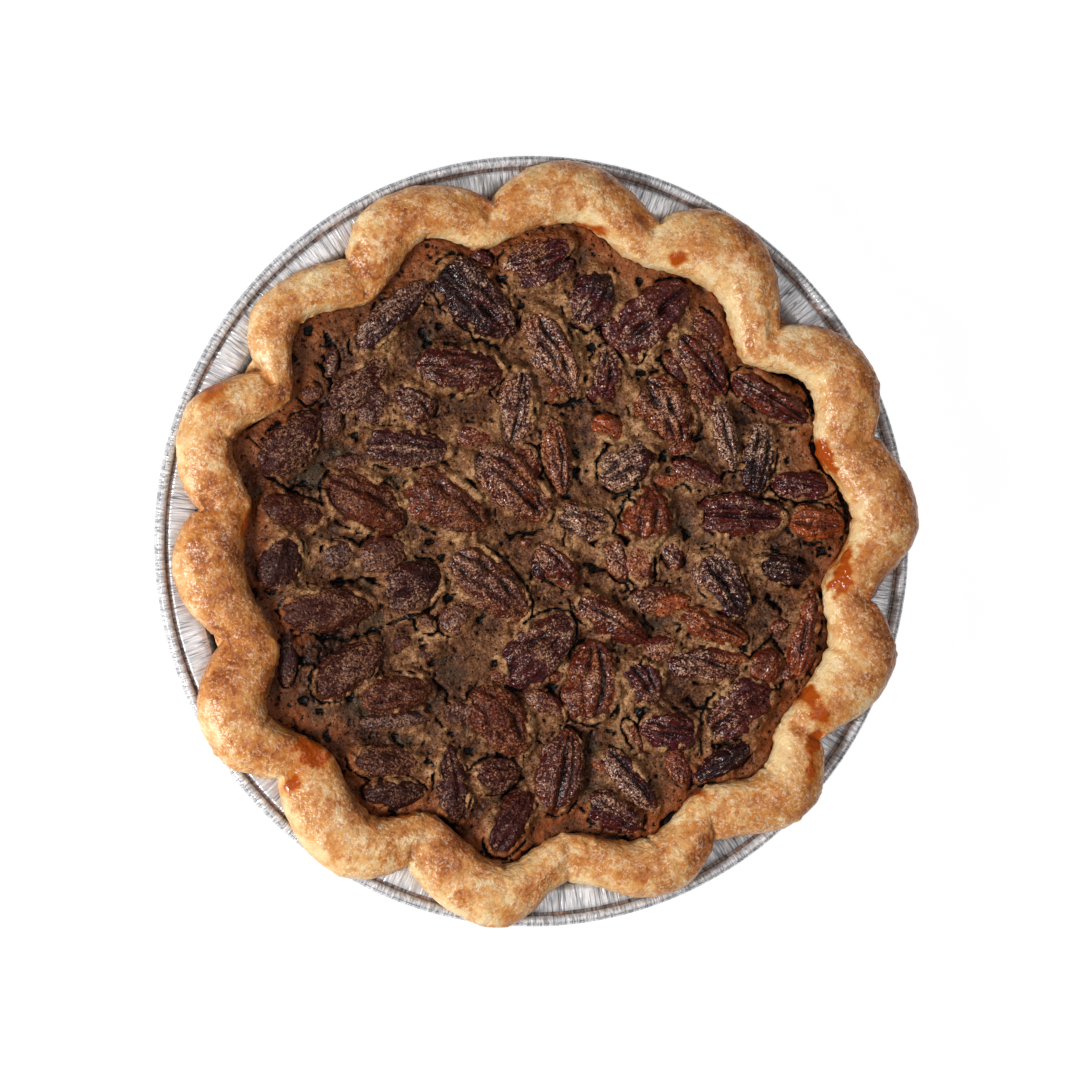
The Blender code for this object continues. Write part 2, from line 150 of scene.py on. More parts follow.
# How each nut looks, from number 1: how much of it the tan skin of filling covers, its
# tone from brown (0) to purple black (1), and for some the heading of the side on which
# it is bare and glossy, and the share of the nut that is bare there.
Look = namedtuple("Look", "cover tone bare_heading bare_share", defaults=(0, 0.0))
LOOKS = (
    (0.95, 0.85, -45, 0.42), (0.62, 0.70), (0.40, 0.60), (0.50, 0.50, 90, 0.25), (0.42, 0.60),
    (0.56, 0.70, 90, 0.35), (0.55, 0.95, 200, 0.50), (0.70, 0.55, 20, 0.40), (0.60, 0.85, 60, 0.50),
    (0.85, 0.50), (0.58, 0.60, -60, 0.40), (0.22, 0.60, 30, 0.40), (0.95, 0.50), (0.70, 0.35),
    (1.20, 0.85, 0, 0.28), (0.78, 0.40), (0.40, 0.45, -20, 0.35), (1.30, 0.80), (0.12, 0.45, -20, 0.50),
    (0.95, 0.95, -97, 0.50), (0.20, 0.80), (0.22, 0.55), (0.45, 0.00, 0, 0.45), (0.00, 1.00, 0, 0.95),
    (0.75, 0.90, -55, 0.40), (0.32, 0.25), (1.15, 0.60), (0.68, 0.40), (0.50, 0.20), (0.60, 0.40),
    (0.42, 0.90, 30, 0.35), (0.44, 0.40), (0.55, 0.60, 225, 0.35), (0.68, 0.40, -60, 0.30),
    (0.48, 0.15), (0.62, 0.65), (0.38, 0.20, 0, 0.35), (0.35, 0.60, 90, 0.50), (0.22, 0.60, -95, 0.40),
    (0.42, 0.35), (0.42, 0.25), (0.28, 0.40), (0.50, 0.60), (0.12, 0.60, 240, 0.50),
    (1.10, 0.70, 40, 0.45), (0.60, 0.60, -118, 0.38), (0.50, 0.55, 20, 0.50), (0.00, 1.00, -60, 0.60),
    (0.35, 0.40), (0.00, 1.00, -90, 0.70), (0.30, 0.85), (0.42, 0.50), (0.45, 0.25), (0.26, 0.45),
    (0.00, 1.00), (0.10, 0.40), (0.32, 0.25),
)

# Small bits of pecan, too many for a solid each: x, y, heading, length, width,
# cover and tone.
BITS = (
    (3.0, 84.5, 22, 22, 7, 0.35, 0.90), (29.0, 64.0, -50, 18, 8, 0.40, 0.55),
    (24.5, 35.5, -30, 13, 8, 0.25, 0.00), (-18.5, 33.0, -10, 14, 8, 0.50, 0.30),
    (56.0, 67.0, -50, 16, 9, 0.45, 0.40), (53.0, 21.0, -22, 18, 8, 0.60, 0.50),
    (26.0, -5.0, -65, 17, 9, 0.85, 0.40), (34.0, -7.0, -80, 15, 10, 0.90, 0.30),
    (-49.0, -4.5, 20, 17, 12, 0.65, 0.25), (-63.0, -4.0, 20, 12, 9, 0.55, 0.70),
    (75.5, -39.5, 60, 12, 10, 0.35, 0.20), (83.5, -41.0, 60, 8, 5, 0.30, 0.30),
    (-80.0, -37.0, 90, 18, 6, 0.30, 0.80), (4.0, -52.0, -35, 16, 7, 0.85, 0.30),
    (-45.0, -57.0, 5, 24, 6, 0.70, 0.80), (60.0, -37.0, -5, 20, 6, 0.85, 0.30),
    (-25.0, -24.0, 60, 13, 10, 0.85, 0.45), (-25.0, -55.0, 0, 12, 9, 0.75, 0.35),
    (38.0, -18.0, 15, 14, 8, 0.80, 0.50), (45.0, -20.0, 15, 15, 6, 0.45, 0.05),
    (41.0, -34.0, 30, 12, 8, 0.80, 0.35), (45.0, -4.0, -75, 11, 6, 0.95, 0.50),
    (1.5, -8.5, -80, 8, 5, 0.10, 0.95), (-52.0, 43.0, 60, 14, 9, 0.70, 0.50),
    (-65.5, 57.0, 85, 10, 4, 0.60, 0.50), (-66.0, 38.0, 90, 11, 8, 0.70, 0.50),
    (-72.0, 47.0, 20, 8, 6, 0.90, 0.10), (-60.0, 25.0, 20, 10, 7, 0.80, 0.40),
    (6.0, 48.0, 85, 9, 4, 0.40, 0.10), (46.0, 55.0, -55, 12, 5, 0.20, 0.45),
    (44.0, 19.5, -5, 10, 4, 0.30, 0.00), (55.0, 44.0, -55, 15, 6, 0.75, 0.40),
    (-2.0, 25.0, -70, 12, 8, 0.60, 0.30), (80.0, -27.0, 20, 7, 4, 0.60, 0.30),
    (7.0, -43.0, 10, 5, 4, 0.50, 0.30), (-9.0, -43.0, -5, 11, 5, 0.80, 0.30),
    (22.5, -72.0, -35, 8, 4, 0.30, 0.05), (32.5, -62.0, -60, 12, 4, 0.70, 0.40),
    (47.0, -72.0, -65, 14, 7, 0.35, 0.40), (-43.0, -32.0, 30, 7, 5, 0.10, 0.25),
    (-35.0, -26.0, -40, 8, 5, 0.60, 0.35), (-35.0, -36.0, 20, 7, 5, 0.60, 0.40),
    (-17.0, 90.0, -30, 8, 5, 0.45, 0.60), (-2.5, -0.5, 10, 4, 3, 0.30, 0.30),
    (48.0, 30.0, 10, 9, 5, 0.80, 0.40),
)

# The clefts along each kind of nut: place across as a share of the half width, and
# depth. Between two clefts the nut is a rounded roll.
CLEFTS = {
    "back": ((-0.33, 2.5), (0.33, 2.5), (-0.74, 1.3), (0.74, 1.3)),
    "face": ((0.0, 3.6), (-0.52, 1.9), (0.52, 1.9)),
    "edge": ((0.15, 2.9), (-0.46, 1.9), (0.66, 1.4)),
    "bit": ((0.12, 1.9), (-0.5, 1.1)),
}
CLEFT_SHOULDER = 2.9
CLEFT_SHARPNESS = 1.7
NUT_ROWS = 58
NUT_COLUMNS = 50
BIT_ROWS = 26
BIT_COLUMNS = 24
POINTED_SHARE = 0.14
NUT_SINK = 1.9
NUT_EQUATOR = 0.3
BIT_HEIGHTS = (2.0, 3.6)
# Nuts whose coat and painted shade pass this are coated all over and duller than the rest.
COATED_FROM = 0.62
NUT_GLOSS = 0.40
COATED_GLOSS = 0.20

# ----------------------------------------------------------------- the filling

FILLING_SPACING = 0.57
FILLING_UNDERSIDE = 27.5
FILLING_PUFF = 0.6
FILLING_TUCK = 3.2
FILLING_REACH = 90.0

# Long cracks in the skin, each as the points that it runs through.
CRACKS = (
    ((-81.0, -31.0), (-72.0, -29.0), (-62.0, -31.5), (-52.0, -28.0)),
    ((-47.0, -21.0), (-40.0, -23.5), (-32.0, -21.0)), ((60.0, 20.5), (64.0, 22.5), (68.0, 21.5)),
    ((68.0, 14.5), (74.0, 13.0), (80.0, 12.0)),
    ((16.0, -8.0), (22.0, -9.0), (27.0, -11.5), (31.0, -12.0)), ((-8.0, 2.0), (-4.0, 3.0), (2.0, 3.0)),
    ((5.0, -46.0), (7.0, -52.0), (10.0, -57.0)), ((-9.0, -23.0), (-5.0, -23.5), (0.0, -21.0)),
    ((27.0, 14.5), (30.0, 16.0), (33.0, 17.5)), ((4.0, 44.0), (9.0, 43.0), (14.0, 44.5)),
    ((12.0, 69.0), (17.0, 66.0), (24.0, 69.0)), ((24.0, 65.0), (27.0, 60.0), (29.0, 57.0)),
    ((-26.0, 70.0), (-22.0, 66.5), (-16.0, 63.0), (-11.0, 60.5)),
    ((-70.0, 56.0), (-66.0, 51.0), (-64.0, 45.0)),
    ((-86.0, 20.0), (-80.0, 17.0), (-74.0, 18.0), (-67.0, 16.0)),
    ((-66.0, -12.0), (-56.0, -11.5), (-50.0, -15.0)), ((36.0, -36.0), (33.0, -40.0), (30.0, -42.0)),
    ((76.0, -18.0), (80.0, -22.0), (82.0, -28.0)), ((-32.0, -44.0), (-28.0, -49.0), (-27.0, -56.0)),
    ((50.0, -50.0), (55.0, -53.0), (60.0, -54.0)),
)

# ---------------------------------------------------------------------- colours


def srgb(red, green, blue):
    """A colour given as 0 to 255 on a screen, as the linear colour a shader needs."""
    channels = []
    for value in (red, green, blue):
        share = value / 255.0
        channels.append(share / 12.92 if share <= 0.04045 else ((share + 0.055) / 1.055) ** 2.4)
    return (*channels, 1.0)


# ------------------------------------------------- arrays and repeatable noise


def join(*values):
    """Arrays side by side, as the columns of one."""
    return np.stack(values, axis=1)


def aligned(flat, x, y, heading):
    """How far each place lies along and aside of a line through x, y with a heading."""
    turn = math.radians(heading)
    dx = flat[:, 0] - x
    dy = flat[:, 1] - y
    return dx * math.cos(turn) + dy * math.sin(turn), dy * math.cos(turn) - dx * math.sin(turn)


def away_from_key(vectors):
    """How far each vector points away from the key lamp, the heading that the painted light and shade
    follow.
    """
    from_key = math.radians(AWAY_FROM_KEY_HEADING)
    return vectors[:, 0] * math.cos(from_key) + vectors[:, 1] * math.sin(from_key)


def lattice_values(cells, seed):
    """A number from 0 to 1 for each cell, the same on every run."""
    mask = 0xFFFFFFFF
    mixed = np.full(cells.shape[0], (seed * 1274126177 + 97531) & mask, dtype=np.int64)
    for axis, factor in zip(range(cells.shape[1]), (374761393, 668265263, 1442695041)):
        mixed = (mixed ^ ((cells[:, axis] * factor) & mask)) & mask
        mixed = (mixed * 1274126177) & mask
        mixed ^= mixed >> 15
    mixed = (mixed * 2246822519) & mask
    mixed ^= mixed >> 13
    return mixed / float(mask)


def smooth_noise(points, size, seed):
    """Smooth noise from -1 to 1 in lumps of the given size, in two or three dimensions."""
    scaled = points / size
    base = np.floor(scaled)
    part = scaled - base
    part = part * part * part * (part * (part * 6.0 - 15.0) + 10.0)
    base = base.astype(np.int64)
    total = np.zeros(len(points))
    for corner in itertools.product((0, 1), repeat=points.shape[1]):
        weight = np.ones(len(points))
        for axis, side in enumerate(corner):
            weight *= part[:, axis] if side else 1.0 - part[:, axis]
        total += weight * lattice_values(base + np.array(corner), seed)
    return 2.0 * total - 1.0


def bent(flat, size, seed, amount):
    """Places in the plane moved a little, by noise in lumps of the given size."""
    shift = join(smooth_noise(flat, size, seed), smooth_noise(flat, size, seed + 1))
    return flat + amount * shift


def fractal_noise(points, size, octaves, seed):
    """Smooth noise with finer noise on it, each octave half as large and half as strong."""
    total = np.zeros(len(points))
    strength = 1.0
    for octave in range(octaves):
        total += strength * smooth_noise(points, size * 0.5 ** octave, seed + 31 * octave)
        strength *= 0.5
    return total / (2.0 - 2.0 * strength)


def cell_noise(points, size, seed):
    """Distance to the nearest and second nearest scattered spot, and the nearest's number."""
    scaled = points / size
    base = np.floor(scaled).astype(np.int64)
    nearest = np.full(len(points), 9.0)
    second = np.full(len(points), 9.0)
    number = np.zeros(len(points))
    for step in itertools.product((-1, 0, 1), repeat=points.shape[1]):
        cell = base + np.array(step)
        apart = np.zeros(len(points))
        for axis in range(points.shape[1]):
            spot = cell[:, axis] + 0.1 + 0.8 * lattice_values(cell, seed + 7 * axis)
            apart += (scaled[:, axis] - spot) ** 2
        apart = np.sqrt(apart)
        closer = apart < nearest
        second = np.where(closer, nearest, np.minimum(second, apart))
        number = np.where(closer, lattice_values(cell, seed + 3), number)
        nearest = np.where(closer, apart, nearest)
    return nearest * size, second * size, number


def smoothstep(low, high, values):
    """0 below low, 1 above high, and a smooth rise between."""
    share = np.clip((values - low) / (high - low), 0.0, 1.0)
    return share * share * (3.0 - 2.0 * share)


# ------------------------------------------------------------------ mesh making


def grid_quads(rows, columns, wrap_rows=False, wrap_columns=False):
    """Faces between neighbouring points of a grid numbered row by row, with their map.

    The map gives each corner its row and column as shares from 0 to 1.
    """
    row_steps = rows if wrap_rows else rows - 1
    column_steps = columns if wrap_columns else columns - 1
    row, column = np.meshgrid(np.arange(row_steps), np.arange(column_steps), indexing="ij")
    row = row.ravel()
    column = column.ravel()
    corners = ((0, 0), (0, 1), (1, 1), (1, 0))
    quads = np.stack(
        [((row + down) % rows) * columns + (column + along) % columns for down, along in corners],
        axis=1,
    )
    chart = np.stack(
        [join((row + down) / row_steps, (column + along) / column_steps)
         for down, along in corners],
        axis=1,
    )
    return quads, chart


def fill_mesh(mesh, points, face_sets):
    """Puts points in millimetres and sets of equal-sided faces into a mesh."""
    corners = np.concatenate([faces.ravel() for faces in face_sets]).astype(np.int32)
    sizes = np.concatenate([np.full(len(faces), faces.shape[1]) for faces in face_sets])
    starts = np.concatenate([[0], np.cumsum(sizes)[:-1]]).astype(np.int32)
    mesh.vertices.add(len(points))
    mesh.vertices.foreach_set("co", (points * MM).astype(np.float32).ravel())
    mesh.loops.add(len(corners))
    mesh.loops.foreach_set("vertex_index", corners)
    mesh.polygons.add(len(sizes))
    mesh.polygons.foreach_set("loop_start", starts)
    mesh.update(calc_edges=True)
    mesh.validate()


def make_piece(name, points, face_sets, material, marks, grain=None, chart=None):
    """Makes one piece of the pie, with its marks, and gives it its finish."""
    mesh = bpy.data.meshes.new(name)
    fill_mesh(mesh, points, face_sets)
    for mark, values in marks.items():
        layer = mesh.attributes.new(mark, "FLOAT", "POINT")
        layer.data.foreach_set("value", np.clip(values, 0.0, 1.0).astype(np.float32))
    layer = mesh.attributes.new("grain", "FLOAT_VECTOR", "POINT")
    layer.data.foreach_set("vector", (points if grain is None else grain).astype(np.float32).ravel())
    if chart is not None:
        layer = mesh.uv_layers.new(name="OFBake")
        layer.data.foreach_set("uv", chart.astype(np.float32).ravel())
    mesh.materials.append(material)
    mesh.shade_smooth()
    piece = bpy.data.objects.new(name, mesh)
    bpy.context.scene.collection.objects.link(piece)
    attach(piece, "root")
    return piece


# ------------------------------------------------------------------- the rope


Rope = namedtuple("Rope", "outer_angle reach inner_angle inner nearness")


def outline_fall(shares, ease):
    """How far the outline has fallen from crest to notch at shares of the way."""
    steep = shares ** CREST_ROUNDNESS
    gentle = 0.5 - 0.5 * np.cos(math.pi * shares ** GENTLE_ROUNDNESS)
    return steep + (gentle - steep) * ease


def half_flute(crest, notch, ease, shares):
    """The columns between a crest and a notch, one array for each of the rope's values."""
    return np.stack([
        crest[0] + (notch[0] - crest[0]) * shares,
        crest[1] + (notch[1] - crest[1]) * outline_fall(shares, ease),
        crest[2] + (notch[2] - crest[2]) * shares,
        crest[3] + (notch[3] - crest[3]) * (0.5 - 0.5 * np.cos(math.pi * shares)),
        shares,
    ])


def rope_columns():
    """Every column of the rope, from the first crest round to it again."""
    shares = np.arange(STEPS_PER_HALF_FLUTE) / STEPS_PER_HALF_FLUTE
    halves = []
    for flute, following in zip(FLUTES, FLUTES[1:] + FLUTES[:1]):
        crest = flute[:4]
        notch = flute[4:8]
        turn = FULL_TURN if following[0] < crest[0] else 0.0
        next_crest = (following[0] + turn, following[1], following[2] + turn, following[3])
        halves.append(half_flute(crest, notch, flute[9], shares))
        halves.append(half_flute(next_crest, notch, following[8], 1.0 - shares))
    return Rope(*np.concatenate(halves, axis=1))


def inner_edge(rope, angles):
    """The radius of the pastry's inner edge at each angle."""
    return np.interp(angles % FULL_TURN, rope.inner_angle % FULL_TURN, rope.inner, period=FULL_TURN)


def rope_section(rope):
    """The places that the rope's section passes through: radius, height and lean.

    The lean is 0 at a column's outer angle and 1 at its inner angle.
    """
    width = rope.reach - rope.inner
    top = ROPE_FLOOR + ROPE_HEIGHT - NOTCH_DROP * rope.nearness ** 2
    flange_end = TIN_RADIUS - 2.0 * BEAD_RADIUS - 1.6
    ledge = np.maximum(WALL_RADIUS + 0.4, np.minimum(rope.reach - 3.0, flange_end))
    one = np.ones_like(rope.reach)
    return [
        (WALL_RADIUS * one, (ROPE_FLOOR + 0.1) * one, 0.0),
        (ledge, (ROPE_FLOOR + 0.1) * one, 0.0),
        (rope.reach - 0.08 * width, 32.6 * one, 0.0),
        (rope.reach, (ROPE_FLOOR + 0.42 * ROPE_HEIGHT) * one, 0.0),
        (rope.reach - 0.08 * width, (ROPE_FLOOR + 0.72 * ROPE_HEIGHT) * one, 0.05),
        (rope.reach - 0.26 * width, top - 0.07 * ROPE_HEIGHT, 0.25),
        (rope.reach - 0.50 * width, top, 0.5),
        (rope.inner + 0.24 * width, top - 0.09 * ROPE_HEIGHT, 0.8),
        (rope.inner + 0.06 * width, (ROPE_FLOOR + 0.64 * ROPE_HEIGHT) * one, 1.0),
        (rope.inner, (ROPE_FLOOR + 0.34 * ROPE_HEIGHT) * one, 1.0),
        (rope.inner + 0.6, 30.6 * one, 1.0),
        ((WALL_RADIUS - WALL_THICKNESS + rope.inner) * 0.5, 27.0 * one, 1.0),
    ]


def through_points(places, shares):
    """A smooth curve through places, at shares of its length: (shares, columns, values)."""
    last = len(places) - 1
    position = shares * last
    start = np.minimum(position.astype(int), last - 1)
    part = (position - start)[:, None, None]
    padded = np.concatenate([places[:1], places, places[-1:]])
    before, here, there, after = (padded[start + offset] for offset in range(4))
    return 0.5 * (
        2.0 * here
        + (there - before) * part
        + (2.0 * before - 5.0 * here + 4.0 * there - after) * part ** 2
        + (3.0 * here - before - 3.0 * there + after) * part ** 3
    )


def rope_surface(rope):
    """The rope's smooth points as (points round the section, columns, xyz)."""
    places = []
    for radius, height, lean in rope_section(rope):
        angle = np.radians(rope.outer_angle + (rope.inner_angle - rope.outer_angle) * lean)
        places.append(join(radius * np.cos(angle), radius * np.sin(angle), height))
    shares = np.linspace(0.0, 1.0, ROPE_POINTS)
    # More of the points go to the parts that show.
    shares = shares - 0.06 * np.sin(2.0 * math.pi * shares)
    return through_points(np.array(places), shares)


def grid_normals(points, wrap_rows, wrap_columns):
    """The outward normal at each point of a grid."""
    def difference(axis, wrap):
        if wrap:
            return np.roll(points, -1, axis) - np.roll(points, 1, axis)
        return np.gradient(points, axis=axis)
    normal = np.cross(difference(1, wrap_columns), difference(0, wrap_rows))
    length = np.linalg.norm(normal, axis=2, keepdims=True)
    return normal / np.maximum(length, 1e-9)


def rope_flow(points):
    """The rope's grain: a ring for the way along it, and the distance across it."""
    middle = points[len(points) // 2]
    steps = np.linalg.norm(np.roll(middle, -1, 0) - middle, axis=1)
    along = np.concatenate([[0.0], np.cumsum(steps)[:-1]])
    turned = along / steps.sum() * math.tau
    ring = steps.sum() / math.tau
    across = np.linalg.norm(np.diff(points, axis=0), axis=2).mean(axis=1)
    across = np.concatenate([[0.0], np.cumsum(across)])
    flow = np.empty(points.shape)
    flow[..., 0] = ring * np.cos(turned)
    flow[..., 1] = ring * np.sin(turned)
    flow[..., 2] = across[:, None]
    return flow.reshape(-1, 3)


def fold_depth(flat, across_share):
    """The creases that run in from each notch and out from each recess."""
    depth = np.zeros(len(flat))
    angles = np.degrees(np.arctan2(flat[:, 1], flat[:, 0]))
    radii = np.hypot(flat[:, 0], flat[:, 1])
    for number, flute in enumerate(FLUTES):
        slant = 0.35 * math.sin(2.1 * number + 0.6)
        for angle, radius, reach, side in (
            (flute[4], flute[5], 9.0 + 3.0 * math.sin(1.7 * number), -1.0),
            (flute[2], flute[3], 7.0 + 3.0 * math.cos(2.3 * number), 1.0),
        ):
            inwards = side * (radii - radius)
            turned = (angles - angle + 180.0) % FULL_TURN - 180.0
            sideways = np.radians(turned) * radius + slant * inwards
            fade = smoothstep(reach, 0.0, inwards) * (inwards > -6.0)
            groove = np.exp(-(sideways / (0.55 + 0.10 * np.maximum(inwards, 0.0))) ** 2)
            depth = np.maximum(depth, groove * fade)
    return depth * smoothstep(0.12, 0.25, across_share)


def stain_mark(places):
    """How much syrup lies at each place."""
    wobble = smooth_noise(places, 3.5, 71) * 0.45 + smooth_noise(places, 1.2, 72) * 0.3
    total = np.zeros(len(places))
    for x, y, heading, length, width, strength in STAINS:
        along, aside = aligned(places, x, y, heading)
        spread = np.sqrt((2.0 * along / length) ** 2 + (2.0 * aside / width) ** 2) + wobble
        total = np.maximum(total, strength * smoothstep(1.50, 0.30, spread))
    return total


def rope_relief(places, flow, share, folds):
    """How far the pastry's surface stands out at each point."""
    lumps = 0.80 * fractal_noise(places, 15.0, 2, 3) + 0.34 * fractal_noise(places, 4.5, 2, 4)
    nearest, _, number = cell_noise(flow, 3.6, 5)
    blisters = 0.55 * smoothstep(1.9, 0.2, nearest) * smoothstep(0.45, 0.9, number)
    nearest, _, number = cell_noise(flow, 1.9, 8)
    blisters += 0.22 * smoothstep(1.0, 0.1, nearest) * smoothstep(0.25, 0.8, number)
    fibres = 0.08 * smooth_noise(flow, np.array([1.2, 1.2, 4.5]), 11)
    ripples = 0.60 * smooth_noise(flow, np.array([2.3, 2.3, 12.0]), 12) * smoothstep(0.62, 0.84, share)
    return lumps + blisters + fibres + ripples - 0.7 * folds - 0.5


def browning_and_shade_mark(places):
    """The broad patches painted browner or paler than the rest: partly real browning, partly painted light
    and shade.
    """
    mark = np.zeros(len(places))
    for across, along, reach, amount in BROWNING_AND_SHADE_PATCHES:
        apart = np.hypot(places[:, 0] - across, places[:, 1] - along)
        mark += amount * np.exp(-(apart / reach) ** 2)
    return mark


def bake_and_shade_mark(places, normals, share):
    """How brown the pastry is, from cream at 0 to dark gold at 1: real browning, with painted shade where it
    turns away from the key lamp and painted light where it turns towards it.
    """
    towards = away_from_key(normals)
    brown = 0.44 + 0.26 * fractal_noise(places, 14.0, 2, 21) + 0.12 * fractal_noise(places, 4.0, 2, 22)
    # Painted shade on pastry turned away from the key lamp, painted light on pastry turned towards it.
    brown += 0.40 * smoothstep(0.05, 0.80, towards) - 0.28 * smoothstep(0.10, 0.75, -towards)
    brown += 0.14 * smoothstep(0.80, 0.97, normals[:, 2])
    brown += 0.30 * smoothstep(36.0, 32.0, places[:, 2]) * smoothstep(0.5, 0.8, share)
    return browning_and_shade_mark(places) + brown


def make_rope(rope, materials, limits):
    """The pastry's pinched edge, as one closed ring."""
    smooth = rope_surface(rope)
    rows, columns = smooth.shape[:2]
    share = np.broadcast_to(np.linspace(0.0, 1.0, rows)[:, None], (rows, columns)).ravel()
    places = smooth.reshape(-1, 3)
    flow = rope_flow(smooth)
    normals = grid_normals(smooth, False, True).reshape(-1, 3)
    folds = fold_depth(places[:, :2], share)
    seen = smoothstep(0.10, 0.20, share) * smoothstep(1.0, 0.93, share)
    points = places + normals * (rope_relief(places, flow, share, folds) * seen)[:, None]
    points = keep_inside(points, limits)
    marks = {
        # The brown mark holds real browning with painted light and shade.
        "brown": bake_and_shade_mark(places, normals, share),
        "stain": stain_mark(places),
        # Painted shade in the creases.
        "fold_shade": folds,
    }
    quads, chart = grid_quads(rows, columns, wrap_rows=True, wrap_columns=True)
    return make_piece(
        "pastry", points, [quads[:, ::-1]], materials["pastry"], marks,
        grain=places, chart=rope_chart(chart)[:, ::-1],
    )


def rope_chart(chart, strips=4, margin=0.006):
    """Lays the long thin strip of the rope out as four strips, one above the other."""
    along = chart[..., 1] * strips
    strip = np.floor(along.min(axis=1, keepdims=True) + 1e-6)
    x = margin + (along - strip) * (1.0 - 2.0 * margin)
    y = (strip + margin * strips + chart[..., 0] * (1.0 - 2.0 * margin * strips)) / strips
    return np.stack([x, y], axis=-1)


def keep_inside(points, limits):
    """Points no further out than the solids reach."""
    return np.clip(points, limits[0], limits[1])


# ------------------------------------------------------------------- the nuts


Nut = namedtuple("Nut", "name side x y heading length width base top look seed")


def read_nut(name, node, base):
    """A nut with the place and size of its solid, whose blunt tip is the higher one."""
    points = np.array([vertex.co for vertex in node.data.vertices]) / MM
    flat = points[:, :2]
    apart = np.linalg.norm(flat[:, None] - flat[None], axis=2)
    blunt, pointed = np.unravel_index(apart.argmax(), apart.shape)
    if points[blunt, 2] < points[pointed, 2]:
        blunt, pointed = pointed, blunt
    axis = flat[pointed] - flat[blunt]
    length = np.linalg.norm(axis)
    sideways = flat @ np.array([-axis[1], axis[0]]) / length
    middle = 0.5 * (flat[blunt] + flat[pointed])
    _, side, number = name.split("_")
    return Nut(
        name, side, middle[0], middle[1], math.degrees(math.atan2(axis[1], axis[0])), length,
        sideways.max() - sideways.min(), base, points[:, 2].max(),
        Look(*LOOKS[int(number) - 1]), int(number),
    )


def read_nuts(nodes, base):
    """Every nut that has a solid."""
    names = sorted(name for name in nodes if name.startswith("pecan_"))
    return [read_nut(name, nodes[name], base) for name in names]


def bit_nuts(base):
    """The small bits, as nuts."""
    bits = []
    low, high = BIT_HEIGHTS
    for number, (x, y, heading, length, width, cover, tone) in enumerate(BITS):
        height = low + (high - low) * min(1.0, (width - 3.0) / 8.0)
        look = Look(cover, tone, heading + 70.0, 0.25)
        bits.append(Nut(f"bit_{number}", "bit", x, y, heading, length, width, base, base + height,
                        look, 200 + number))
    return bits


def half_width(width, share):
    """Half a nut's width at a share of its half length, blunt at -1, pointed at +1."""
    rounded = np.sqrt(np.maximum(0.0, 1.0 - np.abs(share) ** 2.3))
    return 0.5 * width * rounded * (1.0 - POINTED_SHARE * share)


def cleft_depth(nut, share, side_share):
    """How deep the nut's clefts are at shares along and across it."""
    depth = np.zeros(len(share))
    scale = nut.width / 15.0
    along = join(share * nut.length * 0.5, np.zeros(len(share)))
    for number, (place, deep) in enumerate(CLEFTS[nut.side]):
        seed = nut.seed * 17 + number
        shift = 0.10 * math.sin(1.9 * seed)
        wander = shift + 0.12 * smooth_noise(along, 7.0, seed)
        strength = 0.85 + 0.45 * smooth_noise(along, 5.0, seed + 5)
        apart = np.abs(side_share - place * (1.0 - 0.25 * share * share) - wander) * 0.5 * nut.width
        shoulder = 1.0 - np.minimum(apart / (CLEFT_SHOULDER * scale), 1.0)
        depth = np.maximum(depth, deep * scale * strength * shoulder ** CLEFT_SHARPNESS)
    return depth * smoothstep(1.02, 0.75, share) * smoothstep(-1.06, -0.88, share)


def nut_grid(rows, columns):
    """The share along a nut and the angle around it, one value a point."""
    share = -np.cos(math.pi * (np.arange(rows) + 0.5) / rows)
    turn = np.arange(columns) / columns
    # Seven tenths of the points go to the upper half, which is the half that shows.
    around = np.where(turn < 0.7, turn / 0.7 * math.pi, math.pi + (turn - 0.7) / 0.3 * math.pi)
    share = np.repeat(share, columns)
    around = np.tile(around, rows)
    return share, around


def bare_share(nut, share, side_share, wobble):
    """Where the nut is bare and glossy, from 0 to 1."""
    if nut.look.bare_share <= 0.0:
        return np.zeros(len(share))
    turn = math.radians(nut.look.bare_heading - nut.heading)
    towards = share * math.cos(turn) + side_share * math.sin(turn)
    edge = 1.0 - 2.0 * nut.look.bare_share
    return smoothstep(edge - 0.22, edge + 0.22, towards + 0.30 * wobble)


def nut_coat_and_shade(nut):
    """How thickly coated a nut is and how much painted shade it gets, from 0 to 1: most on the key lamp's
    side, where the rim's shadow falls.
    """
    from_key = math.radians(AWAY_FROM_KEY_HEADING)
    away = -(nut.x * math.cos(from_key) + nut.y * math.sin(from_key))
    return min(1.0, max(0.0, 0.35 + away / 110.0))


